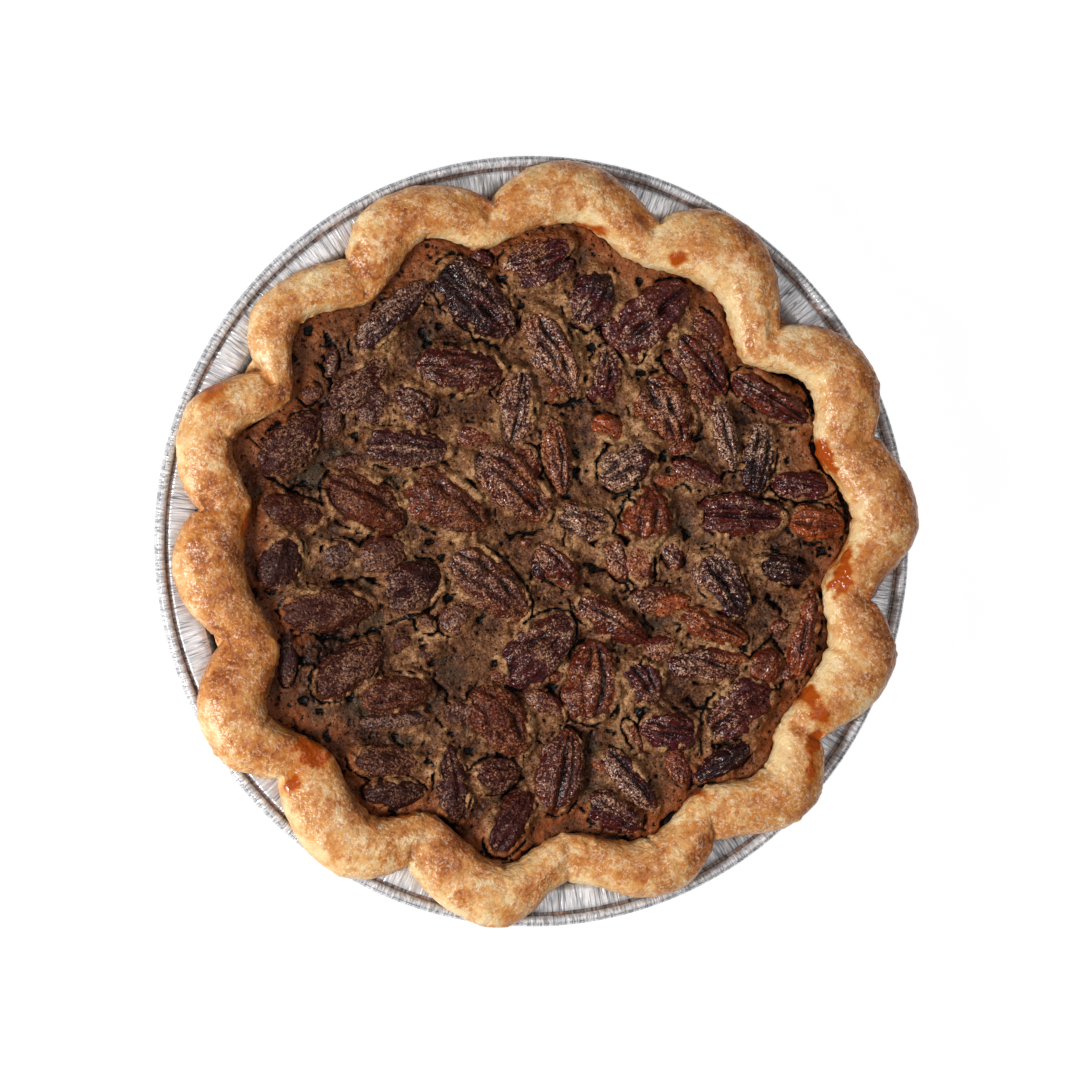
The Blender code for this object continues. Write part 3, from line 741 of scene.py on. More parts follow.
def nut_surface(nut, rows, columns):
    """The points of a nut and its marks. Its two tips come last."""
    share, around = nut_grid(rows, columns)
    rise = np.sin(around)
    swing = np.cos(around)
    length = 0.5 * nut.length * share
    seeded = join(length, 6.0 * swing, np.full(len(share), 9.7 * nut.seed))
    ragged = 0.10 * smooth_noise(seeded, 6.0, 41) + 0.07 * smooth_noise(seeded, 2.4, 42)
    half = half_width(nut.width, share) * (1.0 + ragged)
    equator = nut.base + NUT_EQUATOR
    arch = (1.0 - np.abs(share) ** 2.4) ** 0.5
    up = (nut.top - equator) * arch
    down = (NUT_SINK + NUT_EQUATOR) * arch
    side_share = np.sign(swing) * np.abs(swing) ** 0.90
    aside = half * side_share
    height = equator + np.where(rise > 0.0, up * np.abs(rise) ** 0.92, -down * np.abs(rise))
    solid = join(length, aside, height + 50.0 * nut.seed)
    shown = smoothstep(-0.15, 0.25, rise) * min(1.0, nut.width / 10.0)
    # The coat also sets the nut's painted shade.
    coat_and_shade = nut_coat_and_shade(nut)
    clefts = cleft_depth(nut, share, side_share) * (1.0 - 0.60 * coat_and_shade ** 2)
    knobs = 0.42 * smooth_noise(solid, np.array([3.2, 2.2, 2.2]), 43)
    knobs += 0.34 * (1.0 - 2.4 * np.abs(smooth_noise(solid, np.array([2.6, 1.7, 1.7]), 44)))
    knobs += 0.20 * smooth_noise(solid, 1.25, 48)
    knobs *= 1.0 - 0.35 * coat_and_shade ** 2
    relief = (0.6 * smooth_noise(solid, 6.0, 45) + knobs - clefts) * shown
    outward = join(0.35 * share, side_share * 0.9, np.maximum(rise, 0.0))
    outward /= np.maximum(np.linalg.norm(outward, axis=1, keepdims=True), 1e-6)
    points = join(length, aside, height) + outward * (relief * arch)[:, None]
    wobble = smooth_noise(solid, 3.0, 46)
    patchy = wobble + smooth_noise(solid, 6.5, 49)
    bare = bare_share(nut, share, side_share, wobble)
    # The clefts are painted darker, as painted shade.
    cavity_shade = smoothstep(0.8, 2.3, clefts / max(0.6, nut.width / 15.0) - 0.8 * knobs)
    marks = {
        "cover": nut.look.cover * (1.0 - bare) + 0.30 * (patchy + knobs + coat_and_shade ** 2) - 0.25 * cavity_shade,
        "tone": nut.look.tone + 0.18 * smooth_noise(solid, 6.0, 47) + 0.12 * bare,
        "cavity_shade": cavity_shade,
        # Painted shade over the whole nut, from the rim on the key lamp's side.
        "painted_shade": np.full(len(share), coat_and_shade),
    }
    return close_nut(nut, points, marks)


def close_nut(nut, points, marks):
    """Adds the two tips and turns the nut to its place in the pie."""
    equator = nut.base + NUT_EQUATOR
    tips = np.array([[-0.5 * nut.length, 0.0, equator], [0.5 * nut.length, 0.0, equator]])
    points = np.concatenate([points, tips])
    for mark, values in marks.items():
        marks[mark] = np.concatenate([values, values[:1], values[-1:]])
    turn = math.radians(nut.heading)
    placed = points.copy()
    placed[:, 0] = nut.x + points[:, 0] * math.cos(turn) - points[:, 1] * math.sin(turn)
    placed[:, 1] = nut.y + points[:, 0] * math.sin(turn) + points[:, 1] * math.cos(turn)
    return placed, marks


def nut_faces(rows, columns):
    """The faces of a nut and their map: a grid round it and a fan at each tip."""
    quads, chart = grid_quads(rows, columns, wrap_columns=True)
    chart[..., 0] = 0.03 + 0.94 * chart[..., 0]
    column = np.arange(columns)
    following = (column + 1) % columns
    last_row = (rows - 1) * columns
    blunt = join(np.full(columns, rows * columns), following, column)
    pointed = join(np.full(columns, rows * columns + 1), last_row + column, last_row + following)
    left = column / columns
    right = (column + 1) / columns
    middle = 0.5 * (left + right)
    low = np.zeros(columns)
    high = np.ones(columns)
    blunt_chart = np.stack([
        np.stack([low, middle], 1), np.stack([low + 0.03, right], 1), np.stack([low + 0.03, left], 1),
    ], axis=1)
    pointed_chart = np.stack([
        np.stack([high, middle], 1), np.stack([high - 0.03, left], 1), np.stack([high - 0.03, right], 1),
    ], axis=1)
    chart = np.concatenate([chart.reshape(-1, 2), blunt_chart.reshape(-1, 2), pointed_chart.reshape(-1, 2)])
    return [quads, blunt, pointed], chart


def make_nut(nut, materials):
    """One pecan half in place of its solid."""
    points, marks = nut_surface(nut, NUT_ROWS, NUT_COLUMNS)
    faces, chart = nut_faces(NUT_ROWS, NUT_COLUMNS)
    name = nut.name.replace("pecan", "pecan_half")
    skin = "pecan_coated" if nut_coat_and_shade(nut) > COATED_FROM else "pecan"
    piece = make_piece(name, points, faces, materials[skin], marks, chart=chart)
    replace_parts(piece, nut.name)
    return piece


def make_bits(bits, materials):
    """All the small bits of pecan, joined."""
    faces, chart = nut_faces(BIT_ROWS, BIT_COLUMNS)
    all_points = []
    all_marks = {"cover": [], "tone": [], "cavity_shade": [], "painted_shade": []}
    for bit in bits:
        points, marks = nut_surface(bit, BIT_ROWS, BIT_COLUMNS)
        all_points.append(points)
        for mark, values in marks.items():
            all_marks[mark].append(values)
    count = len(all_points[0])
    across = math.ceil(math.sqrt(len(bits)))
    charts = []
    for number in range(len(bits)):
        shift = np.array([number % across, number // across])
        charts.append((0.04 + 0.92 * chart + shift) / across)
    face_sets = [
        np.concatenate([face_set + number * count for number in range(len(bits))])
        for face_set in faces
    ]
    sizes = [len(face_set) * face_set.shape[1] for face_set in faces]
    starts = np.concatenate([[0], np.cumsum(sizes)])
    chart = np.concatenate([
        one[starts[part]:starts[part + 1]] for part in range(len(faces)) for one in charts
    ])
    marks = {mark: np.concatenate(values) for mark, values in all_marks.items()}
    return make_piece(
        "pecan_bits", np.concatenate(all_points), face_sets, materials["pecan"],
        marks, chart=chart,
    )


# ---------------------------------------------------------------- the filling


def distance_to_nut(nut, flat):
    """About how far each place is outside a nut's outline, less than 0 inside it."""
    along, aside = aligned(flat, nut.x, nut.y, nut.heading)
    lengthwise = 2.0 * along / nut.length
    taper = 1.0 - POINTED_SHARE * np.clip(lengthwise, -1.0, 1.0)
    scaled = (np.abs(lengthwise) ** 2.3 + (2.0 * aside / (nut.width * taper)) ** 2) ** 0.465
    outside = (scaled - 1.0) * np.hypot(along, aside) / np.maximum(scaled, 1e-6)
    return np.where(scaled > 1e-6, outside, -0.5 * nut.width)


def crack_distance(flat):
    """The distance from each place to the nearest of the long cracks."""
    nearest = np.full(len(flat), 99.0)
    moved = bent(flat, 2.4, 61, 1.1)
    for crack in CRACKS:
        for start, end in zip(crack, crack[1:]):
            start = np.array(start)
            run = np.array(end) - start
            share = np.clip(((moved - start) @ run) / (run @ run), 0.0, 1.0)
            apart = np.linalg.norm(moved - start - share[:, None] * run, axis=1)
            nearest = np.minimum(nearest, apart)
    return nearest


def nut_influence(nuts, flat):
    """The distance to the nearest nut, and how tall that nut is."""
    nearest = np.full(len(flat), 99.0)
    height = np.zeros(len(flat))
    for nut in nuts:
        reach = 0.5 * nut.length + 8.0
        close = np.hypot(flat[:, 0] - nut.x, flat[:, 1] - nut.y) < reach
        away = distance_to_nut(nut, flat[close])
        closer = away < nearest[close]
        nearest[close] = np.where(closer, away, nearest[close])
        height[close] = np.where(closer, nut.top - nut.base, height[close])
    return nearest, height


def skin_cracks(flat, away, from_edge):
    """How deep the skin is cracked at each place, from 0 to 1."""
    open_here = smooth_noise(flat, 7.0, 63) + 0.5 * smooth_noise(flat, 2.6, 64)
    wobble = 0.45 * smooth_noise(flat, 1.6, 65)
    by_nut = smoothstep(0.65, 0.22, np.abs(away - 0.45 + wobble)) * smoothstep(0.18, 0.44, open_here)
    nearest, second, _ = cell_noise(flat, 13.0, 66)
    seam = smoothstep(0.9, 0.3, second - nearest + wobble)
    seam *= smoothstep(0.45, 0.7, smooth_noise(flat, 11.0, 67) + 0.3 * open_here)
    long = smoothstep(0.85, 0.30, crack_distance(flat))
    rim = smoothstep(1.3, 0.5, from_edge + 0.5 * wobble) * smoothstep(0.1, 0.6, smooth_noise(flat, 9.0, 68))
    return np.maximum.reduce([by_nut, 0.9 * seam, long, rim])


def skin_pits(flat):
    """Small holes where bubbles broke, from 0 to 1."""
    nearest, _, number = cell_noise(bent(flat, 1.2, 76, 0.5), 2.7, 69)
    radius = 0.30 + 0.75 * np.clip(number - 0.62, 0.0, 1.0)
    pits = smoothstep(radius + 0.28, radius - 0.18, nearest) * (number > 0.62)
    nearest, _, number = cell_noise(flat, 8.0, 73)
    ragged = 0.9 * smooth_noise(flat, 1.8, 74) + 0.5 * smooth_noise(flat, 0.9, 75)
    holes = smoothstep(1.7, 1.1, nearest + ragged) * (number > 0.62)
    return np.maximum(pits, holes)


def filling_height(flat, nuts, level, from_edge):
    """The filling's height and its marks at each place."""
    away, nut_height = nut_influence(nuts, flat)
    relief = 0.85 * fractal_noise(flat, 16.0, 2, 51) + 0.42 * fractal_noise(flat, 4.6, 2, 52)
    relief += 0.18 * smooth_noise(flat, 1.9, 53) + 0.12 * smooth_noise(flat, 1.1, 56) + FILLING_PUFF
    cling = 0.52 + 0.50 * smooth_noise(flat, 8.0, 54) + 0.45 * smooth_noise(flat, 3.0, 57)
    cling += 0.30 * smooth_noise(flat, 1.5, 58)
    climb = cling * 0.64 * nut_height * smoothstep(3.6, -0.8, away) * smoothstep(-4.0, -1.6, away)
    cracks = skin_cracks(flat, away, from_edge)
    pits = skin_pits(flat) * smoothstep(-0.2, 0.4, away)
    height = level + relief + climb - 2.3 * cracks - 1.3 * pits
    height = np.where(away < -4.0, level - 0.6, height)
    marks = {
        # Cracks and pits are painted near black, as painted shade.
        "cavity_shade": np.maximum(cracks, pits),
        # The rise mark is painted light and shade: raised skin and skin up the nuts lighter, hollows darker,
        # and the key lamp's side darker under the rim's shadow.
        "rise": 0.5 + 0.35 * (relief - FILLING_PUFF) + 0.12 * climb + 0.16 * away_from_key(flat) / FILLING_REACH,
        "rim": smoothstep(14.0, 2.0, from_edge + 3.0 * smooth_noise(flat, 7.0, 55)),
    }
    return height, marks


def filling_grid(rope, spacing):
    """The places of the filling's top, on a square grid cut off under the rope's edge."""
    count = int(2.0 * rope.inner.max() / spacing) + 8
    line = (np.arange(count) - 0.5 * (count - 1)) * spacing
    x, y = np.meshgrid(line, line, indexing="ij")
    flat = join(x.ravel(), y.ravel())
    angles = np.degrees(np.arctan2(flat[:, 1], flat[:, 0]))
    from_edge = inner_edge(rope, angles) - np.hypot(flat[:, 0], flat[:, 1])
    keep = from_edge > -FILLING_TUCK
    quads, _ = grid_quads(count, count)
    quads = quads[keep[quads].all(axis=1)]
    used = np.unique(quads)
    renumber = np.zeros(len(flat), dtype=np.int64)
    renumber[used] = np.arange(len(used))
    return flat[used], from_edge[used], renumber[quads]


def outer_edges(quads):
    """The edges that only one face has, each in the order its face has it."""
    edges = np.concatenate([quads[:, [side, (side + 1) % 4]] for side in range(4)])
    low = edges.min(axis=1)
    high = edges.max(axis=1)
    key = low * (quads.max() + 1) + high
    _, first, count = np.unique(key, return_index=True, return_counts=True)
    return edges[first[count == 1]]


def close_below(points, quads, depth):
    """Adds a skirt down to a depth and a floor, so that the body is closed."""
    rim = outer_edges(quads)
    used = np.unique(rim)
    lower = {old: len(points) + new for new, old in enumerate(used)}
    below = points[used].copy()
    below[:, 2] = depth
    centre = np.array([[0.0, 0.0, depth]])
    middle = len(points) + len(used)
    skirt = np.array([[end, start, lower[start], lower[end]] for start, end in rim])
    floor = np.array([[lower[end], lower[start], middle] for start, end in rim])
    return np.concatenate([points, below, centre]), skirt, floor, len(used) + 1


def make_filling(rope, nuts, level, materials):
    """The baked filling with its cracked skin, in place of its solid."""
    flat, from_edge, quads = filling_grid(rope, FILLING_SPACING)
    height, marks = filling_height(flat, nuts, level, from_edge)
    tucked = smoothstep(0.0, -2.0, from_edge)
    height = height * (1.0 - tucked) + np.minimum(height, level - 1.4) * tucked
    points = np.concatenate([flat, height[:, None]], axis=1)
    points, skirt, floor, added = close_below(points, quads, FILLING_UNDERSIDE)
    for mark, values in marks.items():
        marks[mark] = np.concatenate([values, np.zeros(added)])
    size = 2.0 * rope.inner.max() + 10.0
    chart = [0.03 + 0.94 * (points[quads][..., :2] / size + 0.5)]
    for faces in (skirt, floor):
        chart.append(0.012 * (points[faces][..., :2] / size + 0.5))
    chart = np.concatenate([part.reshape(-1, 2) for part in chart])
    return make_piece(
        "filling_skin", points, [quads, skirt, floor], materials["custard"],
        marks, chart=chart,
    )


# -------------------------------------------------------------------- the tin

TIN_COLUMNS = 1320
FOOT_LEVEL = 0.06
TIN_PLEATS = 262
PLEAT_DEPTH = 0.16
GROOVE_RADIUS = TIN_RADIUS - 2.0 * BEAD_RADIUS - 0.75
RIM_LINE_RADIUS = TIN_RADIUS - 0.85


def arc(centre, radius, start, end, steps):
    """Points on an arc, as radius and height."""
    points = []
    for step in range(steps + 1):
        angle = math.radians(start + (end - start) * step / steps)
        points.append((centre[0] + radius * math.cos(angle), centre[1] + radius * math.sin(angle)))
    return points


def straight(start, end, steps):
    """Points from start up to but not including end."""
    return [
        tuple(a + (b - a) * step / steps for a, b in zip(start, end))
        for step in range(steps)
    ]


def tin_profile():
    """The foil's section: under the base, up the wall, round the bead, and back inside."""
    bead = (TIN_RADIUS - BEAD_RADIUS - 0.05, TIN_HEIGHT - BEAD_RADIUS)
    groove = bead[0] - BEAD_RADIUS - 0.9
    corners = (
        (2.0, PANEL_RISE, 6),
        (FOOT_INNER_RADIUS - PANEL_RISE, PANEL_RISE, 2),
        (FOOT_INNER_RADIUS, FOOT_LEVEL, 3),
        (FOOT_OUTER_RADIUS, FOOT_LEVEL, 2),
        (FOOT_OUTER_RADIUS + 1.6, 1.2, 10),
        (FLANGE_INNER_RADIUS, FLANGE_HEIGHT - 1.2, 2),
        (FLANGE_INNER_RADIUS + 0.8, FLANGE_HEIGHT, 4),
        (groove, FLANGE_HEIGHT, 0),
    )
    outside = []
    for start, end in zip(corners, corners[1:]):
        outside += straight(start[:2], end[:2], start[2])
    outside += arc(bead, BEAD_RADIUS, -125.0, 170.0, 13)
    top = FLANGE_HEIGHT + FOIL
    inside = [(groove + 0.5, top - 0.45), (groove, top - 0.6), (groove - 0.7, top - 0.1)]
    inside += straight((groove - 1.2, top), (FLANGE_INNER_RADIUS, top), 5)
    inside += [(FLANGE_INNER_RADIUS - 0.6, FLANGE_HEIGHT - 1.2), (FOOT_OUTER_RADIUS + 1.2, 1.6)]
    inside += [(FOOT_OUTER_RADIUS - 0.3, FOIL), (FOOT_INNER_RADIUS + 0.3, FOIL)]
    inside += [(FOOT_INNER_RADIUS - PANEL_RISE, PANEL_RISE + FOIL), (2.0, PANEL_RISE + FOIL)]
    return np.array(outside + inside)


def pleat_height(angle, along):
    """The crumpled pleats of pressed foil, from -1 to 1."""
    ring = join(np.cos(np.radians(angle)) * 40.0, np.sin(np.radians(angle)) * 40.0)
    uneven = 1.1 * smooth_noise(ring, 3.0, 81) + 0.5 * smooth_noise(ring, 0.9, 82)
    phase = angle / FULL_TURN * TIN_PLEATS + uneven
    wave = np.abs(2.0 * (phase - np.floor(phase)) - 1.0) * 2.0 - 1.0
    deep = np.concatenate([ring, along[:, None] * 0.4], axis=1)
    return wave * (0.75 + 0.45 * smooth_noise(deep, 1.6, 83)) + 0.35 * smooth_noise(deep, 1.1, 84)


def make_tin(materials):
    """The foil tin, in place of its solid."""
    profile = tin_profile()
    rows = len(profile)
    angle = np.tile(np.arange(TIN_COLUMNS) / TIN_COLUMNS * FULL_TURN, rows)
    radius = np.repeat(profile[:, 0], TIN_COLUMNS)
    height = np.repeat(profile[:, 1], TIN_COLUMNS)
    run = np.gradient(profile, axis=0)
    normal = join(run[:, 1], -run[:, 0])
    normal /= np.linalg.norm(normal, axis=1, keepdims=True)
    bead = smoothstep(TIN_RADIUS - 3.4, TIN_RADIUS - 2.6, radius)
    foot = smoothstep(1.4, 5.0, height)
    pleats = pleat_height(angle, radius + height)
    lip = smoothstep(1.8, 0.4, np.abs(radius - GROOVE_RADIUS))
    depth = PLEAT_DEPTH * foot * (1.0 - 0.72 * bead) * (1.0 - 0.8 * lip) * smoothstep(60.0, 92.0, radius)
    out = np.repeat(normal, TIN_COLUMNS, axis=0) * (depth * pleats)[:, None]
    radius = np.minimum(radius + out[:, 0], TIN_RADIUS)
    height = np.clip(height + out[:, 1], 0.0, TIN_HEIGHT)
    turned = np.radians(angle)
    points = join(radius * np.cos(turned), radius * np.sin(turned), height)
    quads, _ = grid_quads(rows, TIN_COLUMNS, wrap_columns=True)
    caps = [np.arange(TIN_COLUMNS)[None, :], (np.arange(TIN_COLUMNS) + (rows - 1) * TIN_COLUMNS)[None, ::-1]]
    marks = {"raised": smoothstep(24.0, 28.0, height), "bead": bead}
    grain = join(TIN_RADIUS * np.cos(turned), TIN_RADIUS * np.sin(turned), radius)
    return make_piece("foil_tin", points, [quads] + caps, materials["foil"], marks, grain=grain)


# ------------------------------------------------------------------ materials


def screen(colour):
    """A shader's colour: one given as 0 to 255 on a screen is turned into it."""
    return srgb(*colour) if isinstance(colour, tuple) else colour


class Nodes:
    """The nodes of one material. Most methods add some and give back their result."""

    def __init__(self, name):
        self.material = bpy.data.materials.new(name)
        self.material.use_nodes = True
        self.tree = self.material.node_tree
        self.shader = self.tree.nodes["Principled BSDF"]

    def fill(self, node, inputs):
        """Links each of a node's inputs to a result, or sets the input's own value."""
        for name, value in inputs.items():
            if isinstance(value, bpy.types.NodeSocket):
                self.tree.links.new(value, node.inputs[name])
            else:
                node.inputs[name].default_value = value

    def add(self, kind, output, inputs, **settings):
        """One node of a kind, filled in."""
        node = self.tree.nodes.new("ShaderNode" + kind)
        for setting, value in settings.items():
            setattr(node, setting, value)
        self.fill(node, inputs)
        return node.outputs[output]

    def finish(self, inputs):
        """Fills in the shader and gives back the material."""
        self.fill(self.shader, inputs)
        return self.material

    def math(self, operation, first, second=0.0, clamp=False):
        """The result of sums with one or two values."""
        return self.add("Math", 0, {0: first, 1: second}, operation=operation, use_clamp=clamp)

    def plus(self, first, second, clamp=False):
        """The sum of two values."""
        return self.math("ADD", first, second, clamp)

    def minus(self, first, second):
        """The first value less the second."""
        return self.math("SUBTRACT", first, second)

    def times(self, first, second, clamp=False):
        """The product of two values."""
        return self.math("MULTIPLY", first, second, clamp)

    def larger(self, first, second):
        """The larger of two values."""
        return self.math("MAXIMUM", first, second)

    def away(self, value, middle):
        """How far a value is from a middle."""
        return self.math("ABSOLUTE", self.minus(value, middle))

    def mark(self, name):
        """A mark of the mesh."""
        return self.add("Attribute", "Fac", {}, attribute_name=name)

    def grain(self, stretch=None):
        """The mesh's grain in millimetres, stretched for a texture to follow."""
        grain = self.add("Attribute", "Vector", {}, attribute_name="grain")
        if stretch is None:
            return grain
        return self.add("VectorMath", 0, {0: grain, 1: stretch}, operation="MULTIPLY")

    def noise(self, size, detail=2.0, stretch=None, roughness=0.55):
        """Noise from 0 to 1 in lumps of about the given size in millimetres."""
        inputs = {"Scale": 1.0 / size, "Detail": detail, "Roughness": roughness}
        return self.add("TexNoise", "Fac", {**inputs, "Vector": self.grain(stretch)})

    def span(self, value, low, high, to_low=0.0, to_high=1.0):
        """A value taken from one range to another, smoothly and no further."""
        inputs = {"Value": value, "From Min": low, "From Max": high, "To Min": to_low, "To Max": to_high}
        return self.add("MapRange", "Result", inputs, interpolation_type="SMOOTHSTEP")

    def pits(self, size, inner, outer, spread, most):
        """Scattered small holes, in some regions of the given spread only."""
        spots = self.add("TexVoronoi", "Distance", {"Scale": 1.0 / size, "Vector": self.grain()})
        some = self.span(self.noise(spread, 1.0), 0.45, most)
        return self.times(self.span(spots, inner, outer, 1.0, 0.0), some)

    def band(self, value, middle, half, soft):
        """1 where a value is within half of the middle, falling to 0 over soft."""
        return self.span(self.away(value, middle), half, half + soft, 1.0, 0.0)

    def mix(self, share, first, second):
        """A share of the second colour over the first."""
        inputs = {0: share, 6: screen(first), 7: screen(second)}
        return self.add("Mix", 2, inputs, data_type="RGBA")

    def ramp(self, value, stops):
        """Colours along a scale, as (place, colour) pairs."""
        node = self.tree.nodes.new("ShaderNodeValToRGB")
        elements = node.color_ramp.elements
        for element, (place, colour) in ((elements[0], stops[0]), (elements[1], stops[-1])):
            element.position = place
            element.color = screen(colour)
        for place, colour in stops[1:-1]:
            elements.new(place).color = screen(colour)
        self.fill(node, {0: value})
        return node.outputs["Color"]

    def bump(self, height, distance):
        """The normal of relief with the given height in millimetres."""
        return self.add("Bump", "Normal", {"Strength": 1.0, "Distance": distance * MM, "Height": height})


def pastry_material():
    """Baked shortcrust: gold to brown mottle with painted light and shade in it, syrup stains, pale threads
    and flakes painted as highlights, and painted shade in its creases.
    """
    nodes = Nodes("pastry")
    clouds = nodes.noise(7.0, 3.0, roughness=0.6)
    mottle = nodes.noise(1.5, 3.0, roughness=0.7)
    # Pale threads: painted highlights.
    glint_threads = nodes.times(
        nodes.band(nodes.noise(1.5), 0.5, 0.0, 0.09),
        nodes.span(nodes.noise(1.1, 1.0), 0.44, 0.60),
    )
    glint_threads = nodes.times(glint_threads, nodes.span(nodes.noise(6.0, 1.0), 0.34, 0.58, 0.25, 1.0))
    # The brown mark brings real browning with painted light and shade.
    brown = nodes.plus(nodes.mark("brown"), nodes.span(clouds, 0.3, 0.7, -0.24, 0.24))
    brown = nodes.plus(brown, nodes.span(mottle, 0.28, 0.72, -0.13, 0.13))
    # The creases are painted browner, as painted shade.
    brown = nodes.plus(brown, nodes.times(nodes.mark("fold_shade"), 0.20), clamp=True)
    colour = nodes.ramp(brown, (
        (0.0, (242, 208, 150)),
        (0.30, (226, 170, 104)),
        (0.55, (206, 134, 68)),
        (0.78, (180, 103, 42)),
        (1.0, (142, 70, 24)),
    ))
    blush = nodes.span(nodes.noise(2.4, 3.0, roughness=0.7), 0.52, 0.68, 0.0, 0.34)
    colour = nodes.mix(blush, colour, (196, 118, 80))
    cream = nodes.span(nodes.noise(4.2, 3.0), 0.52, 0.62, 0.0, 0.60)
    cream = nodes.times(cream, nodes.span(brown, 0.30, 0.70, 1.0, 0.0))
    colour = nodes.mix(cream, colour, (244, 216, 168))
    # The pale threads are painted highlights, weaker on brown pastry.
    thread_glints = nodes.times(glint_threads, nodes.span(brown, 0.3, 0.9, 0.75, 0.45))
    colour = nodes.mix(thread_glints, colour, (250, 226, 192))
    gilt = nodes.span(nodes.noise(8.0), 0.50, 0.60, 0.0, 0.26)
    colour = nodes.mix(gilt, colour, (206, 136, 64))
    # Pale flakes: painted highlights.
    glint_flakes = nodes.span(nodes.noise(0.75, 1.0), 0.60, 0.70)
    glint_flakes = nodes.times(glint_flakes, nodes.span(nodes.noise(5.0), 0.48, 0.60, 0.0, 0.75))
    glint_flakes = nodes.times(glint_flakes, nodes.span(brown, 0.4, 0.9, 1.0, 0.35))
    colour = nodes.mix(glint_flakes, colour, (252, 232, 204))
    stain = nodes.times(nodes.mark("stain"), nodes.span(mottle, 0.2, 0.5, 1.0, 1.5), clamp=True)
    colour = nodes.mix(nodes.span(stain, 0.0, 0.5, 0.0, 0.75), colour, (204, 122, 48))
    colour = nodes.mix(nodes.span(stain, 0.35, 0.95), colour, (172, 74, 16))
    return nodes.finish({
        "Base Color": colour,
        "Roughness": nodes.minus(nodes.span(mottle, 0.3, 0.7, 0.22, 0.38), nodes.times(stain, 0.16)),
        "Specular IOR Level": 0.30,
        "Normal": nodes.bump(nodes.noise(1.3, 1.0), 0.40),
    })


def custard_material():
    """Baked filling: a tan-brown skin, grainy, pitted, with painted shade near black in its cracks and pits,
    lighter where it rises as painted light, and olive grey in its hollows as painted shade.
    """
    nodes = Nodes("custard")
    grain = nodes.noise(0.8, 4.0, roughness=0.75)
    lumps = nodes.noise(2.8, roughness=0.6)
    patches = nodes.noise(9.0)
    rise = nodes.mark("rise")
    pits = nodes.pits(1.25, 0.13, 0.24, 2.6, 0.51)
    light = nodes.plus(nodes.span(grain, 0.30, 0.70, -0.22, 0.24), nodes.span(lumps, 0.3, 0.7, -0.12, 0.12))
    light = nodes.plus(light, nodes.span(patches, 0.3, 0.7, -0.20, 0.14))
    # The rise mark paints light on raised skin and shade in the hollows and on the key lamp's side.
    light = nodes.plus(light, nodes.span(rise, 0.0, 1.0, 0.10, 0.72), clamp=True)
    colour = nodes.ramp(light, (
        (0.0, (40, 20, 12)),
        (0.30, (84, 48, 29)),
        (0.62, (130, 86, 54)),
        (1.0, (196, 150, 104)),
    ))
    # Olive grey in the hollows: painted shade.
    hollow_shade = nodes.span(nodes.noise(12.0, 1.0), 0.50, 0.66, 0.0, 0.7)
    hollow_shade = nodes.times(hollow_shade, nodes.span(rise, 0.35, 0.65, 1.0, 0.0))
    colour = nodes.mix(hollow_shade, colour, (70, 58, 42))
    rust = nodes.times(nodes.mark("rim"), nodes.span(patches, 0.4, 0.6, 0.30, 0.75))
    colour = nodes.mix(rust, colour, (136, 66, 26))
    # Cracks and pits painted near black, as painted shade.
    painted_shade = nodes.larger(nodes.mark("cavity_shade"), pits)
    colour = nodes.mix(nodes.span(painted_shade, 0.15, 0.8), colour, (12, 7, 5))
    return nodes.finish({
        "Base Color": colour,
        "Roughness": nodes.span(grain, 0.3, 0.7, 0.30, 0.55),
        "Specular IOR Level": 0.18,
        "Normal": nodes.bump(nodes.minus(nodes.noise(1.4, 1.0), pits), 0.75),
    })


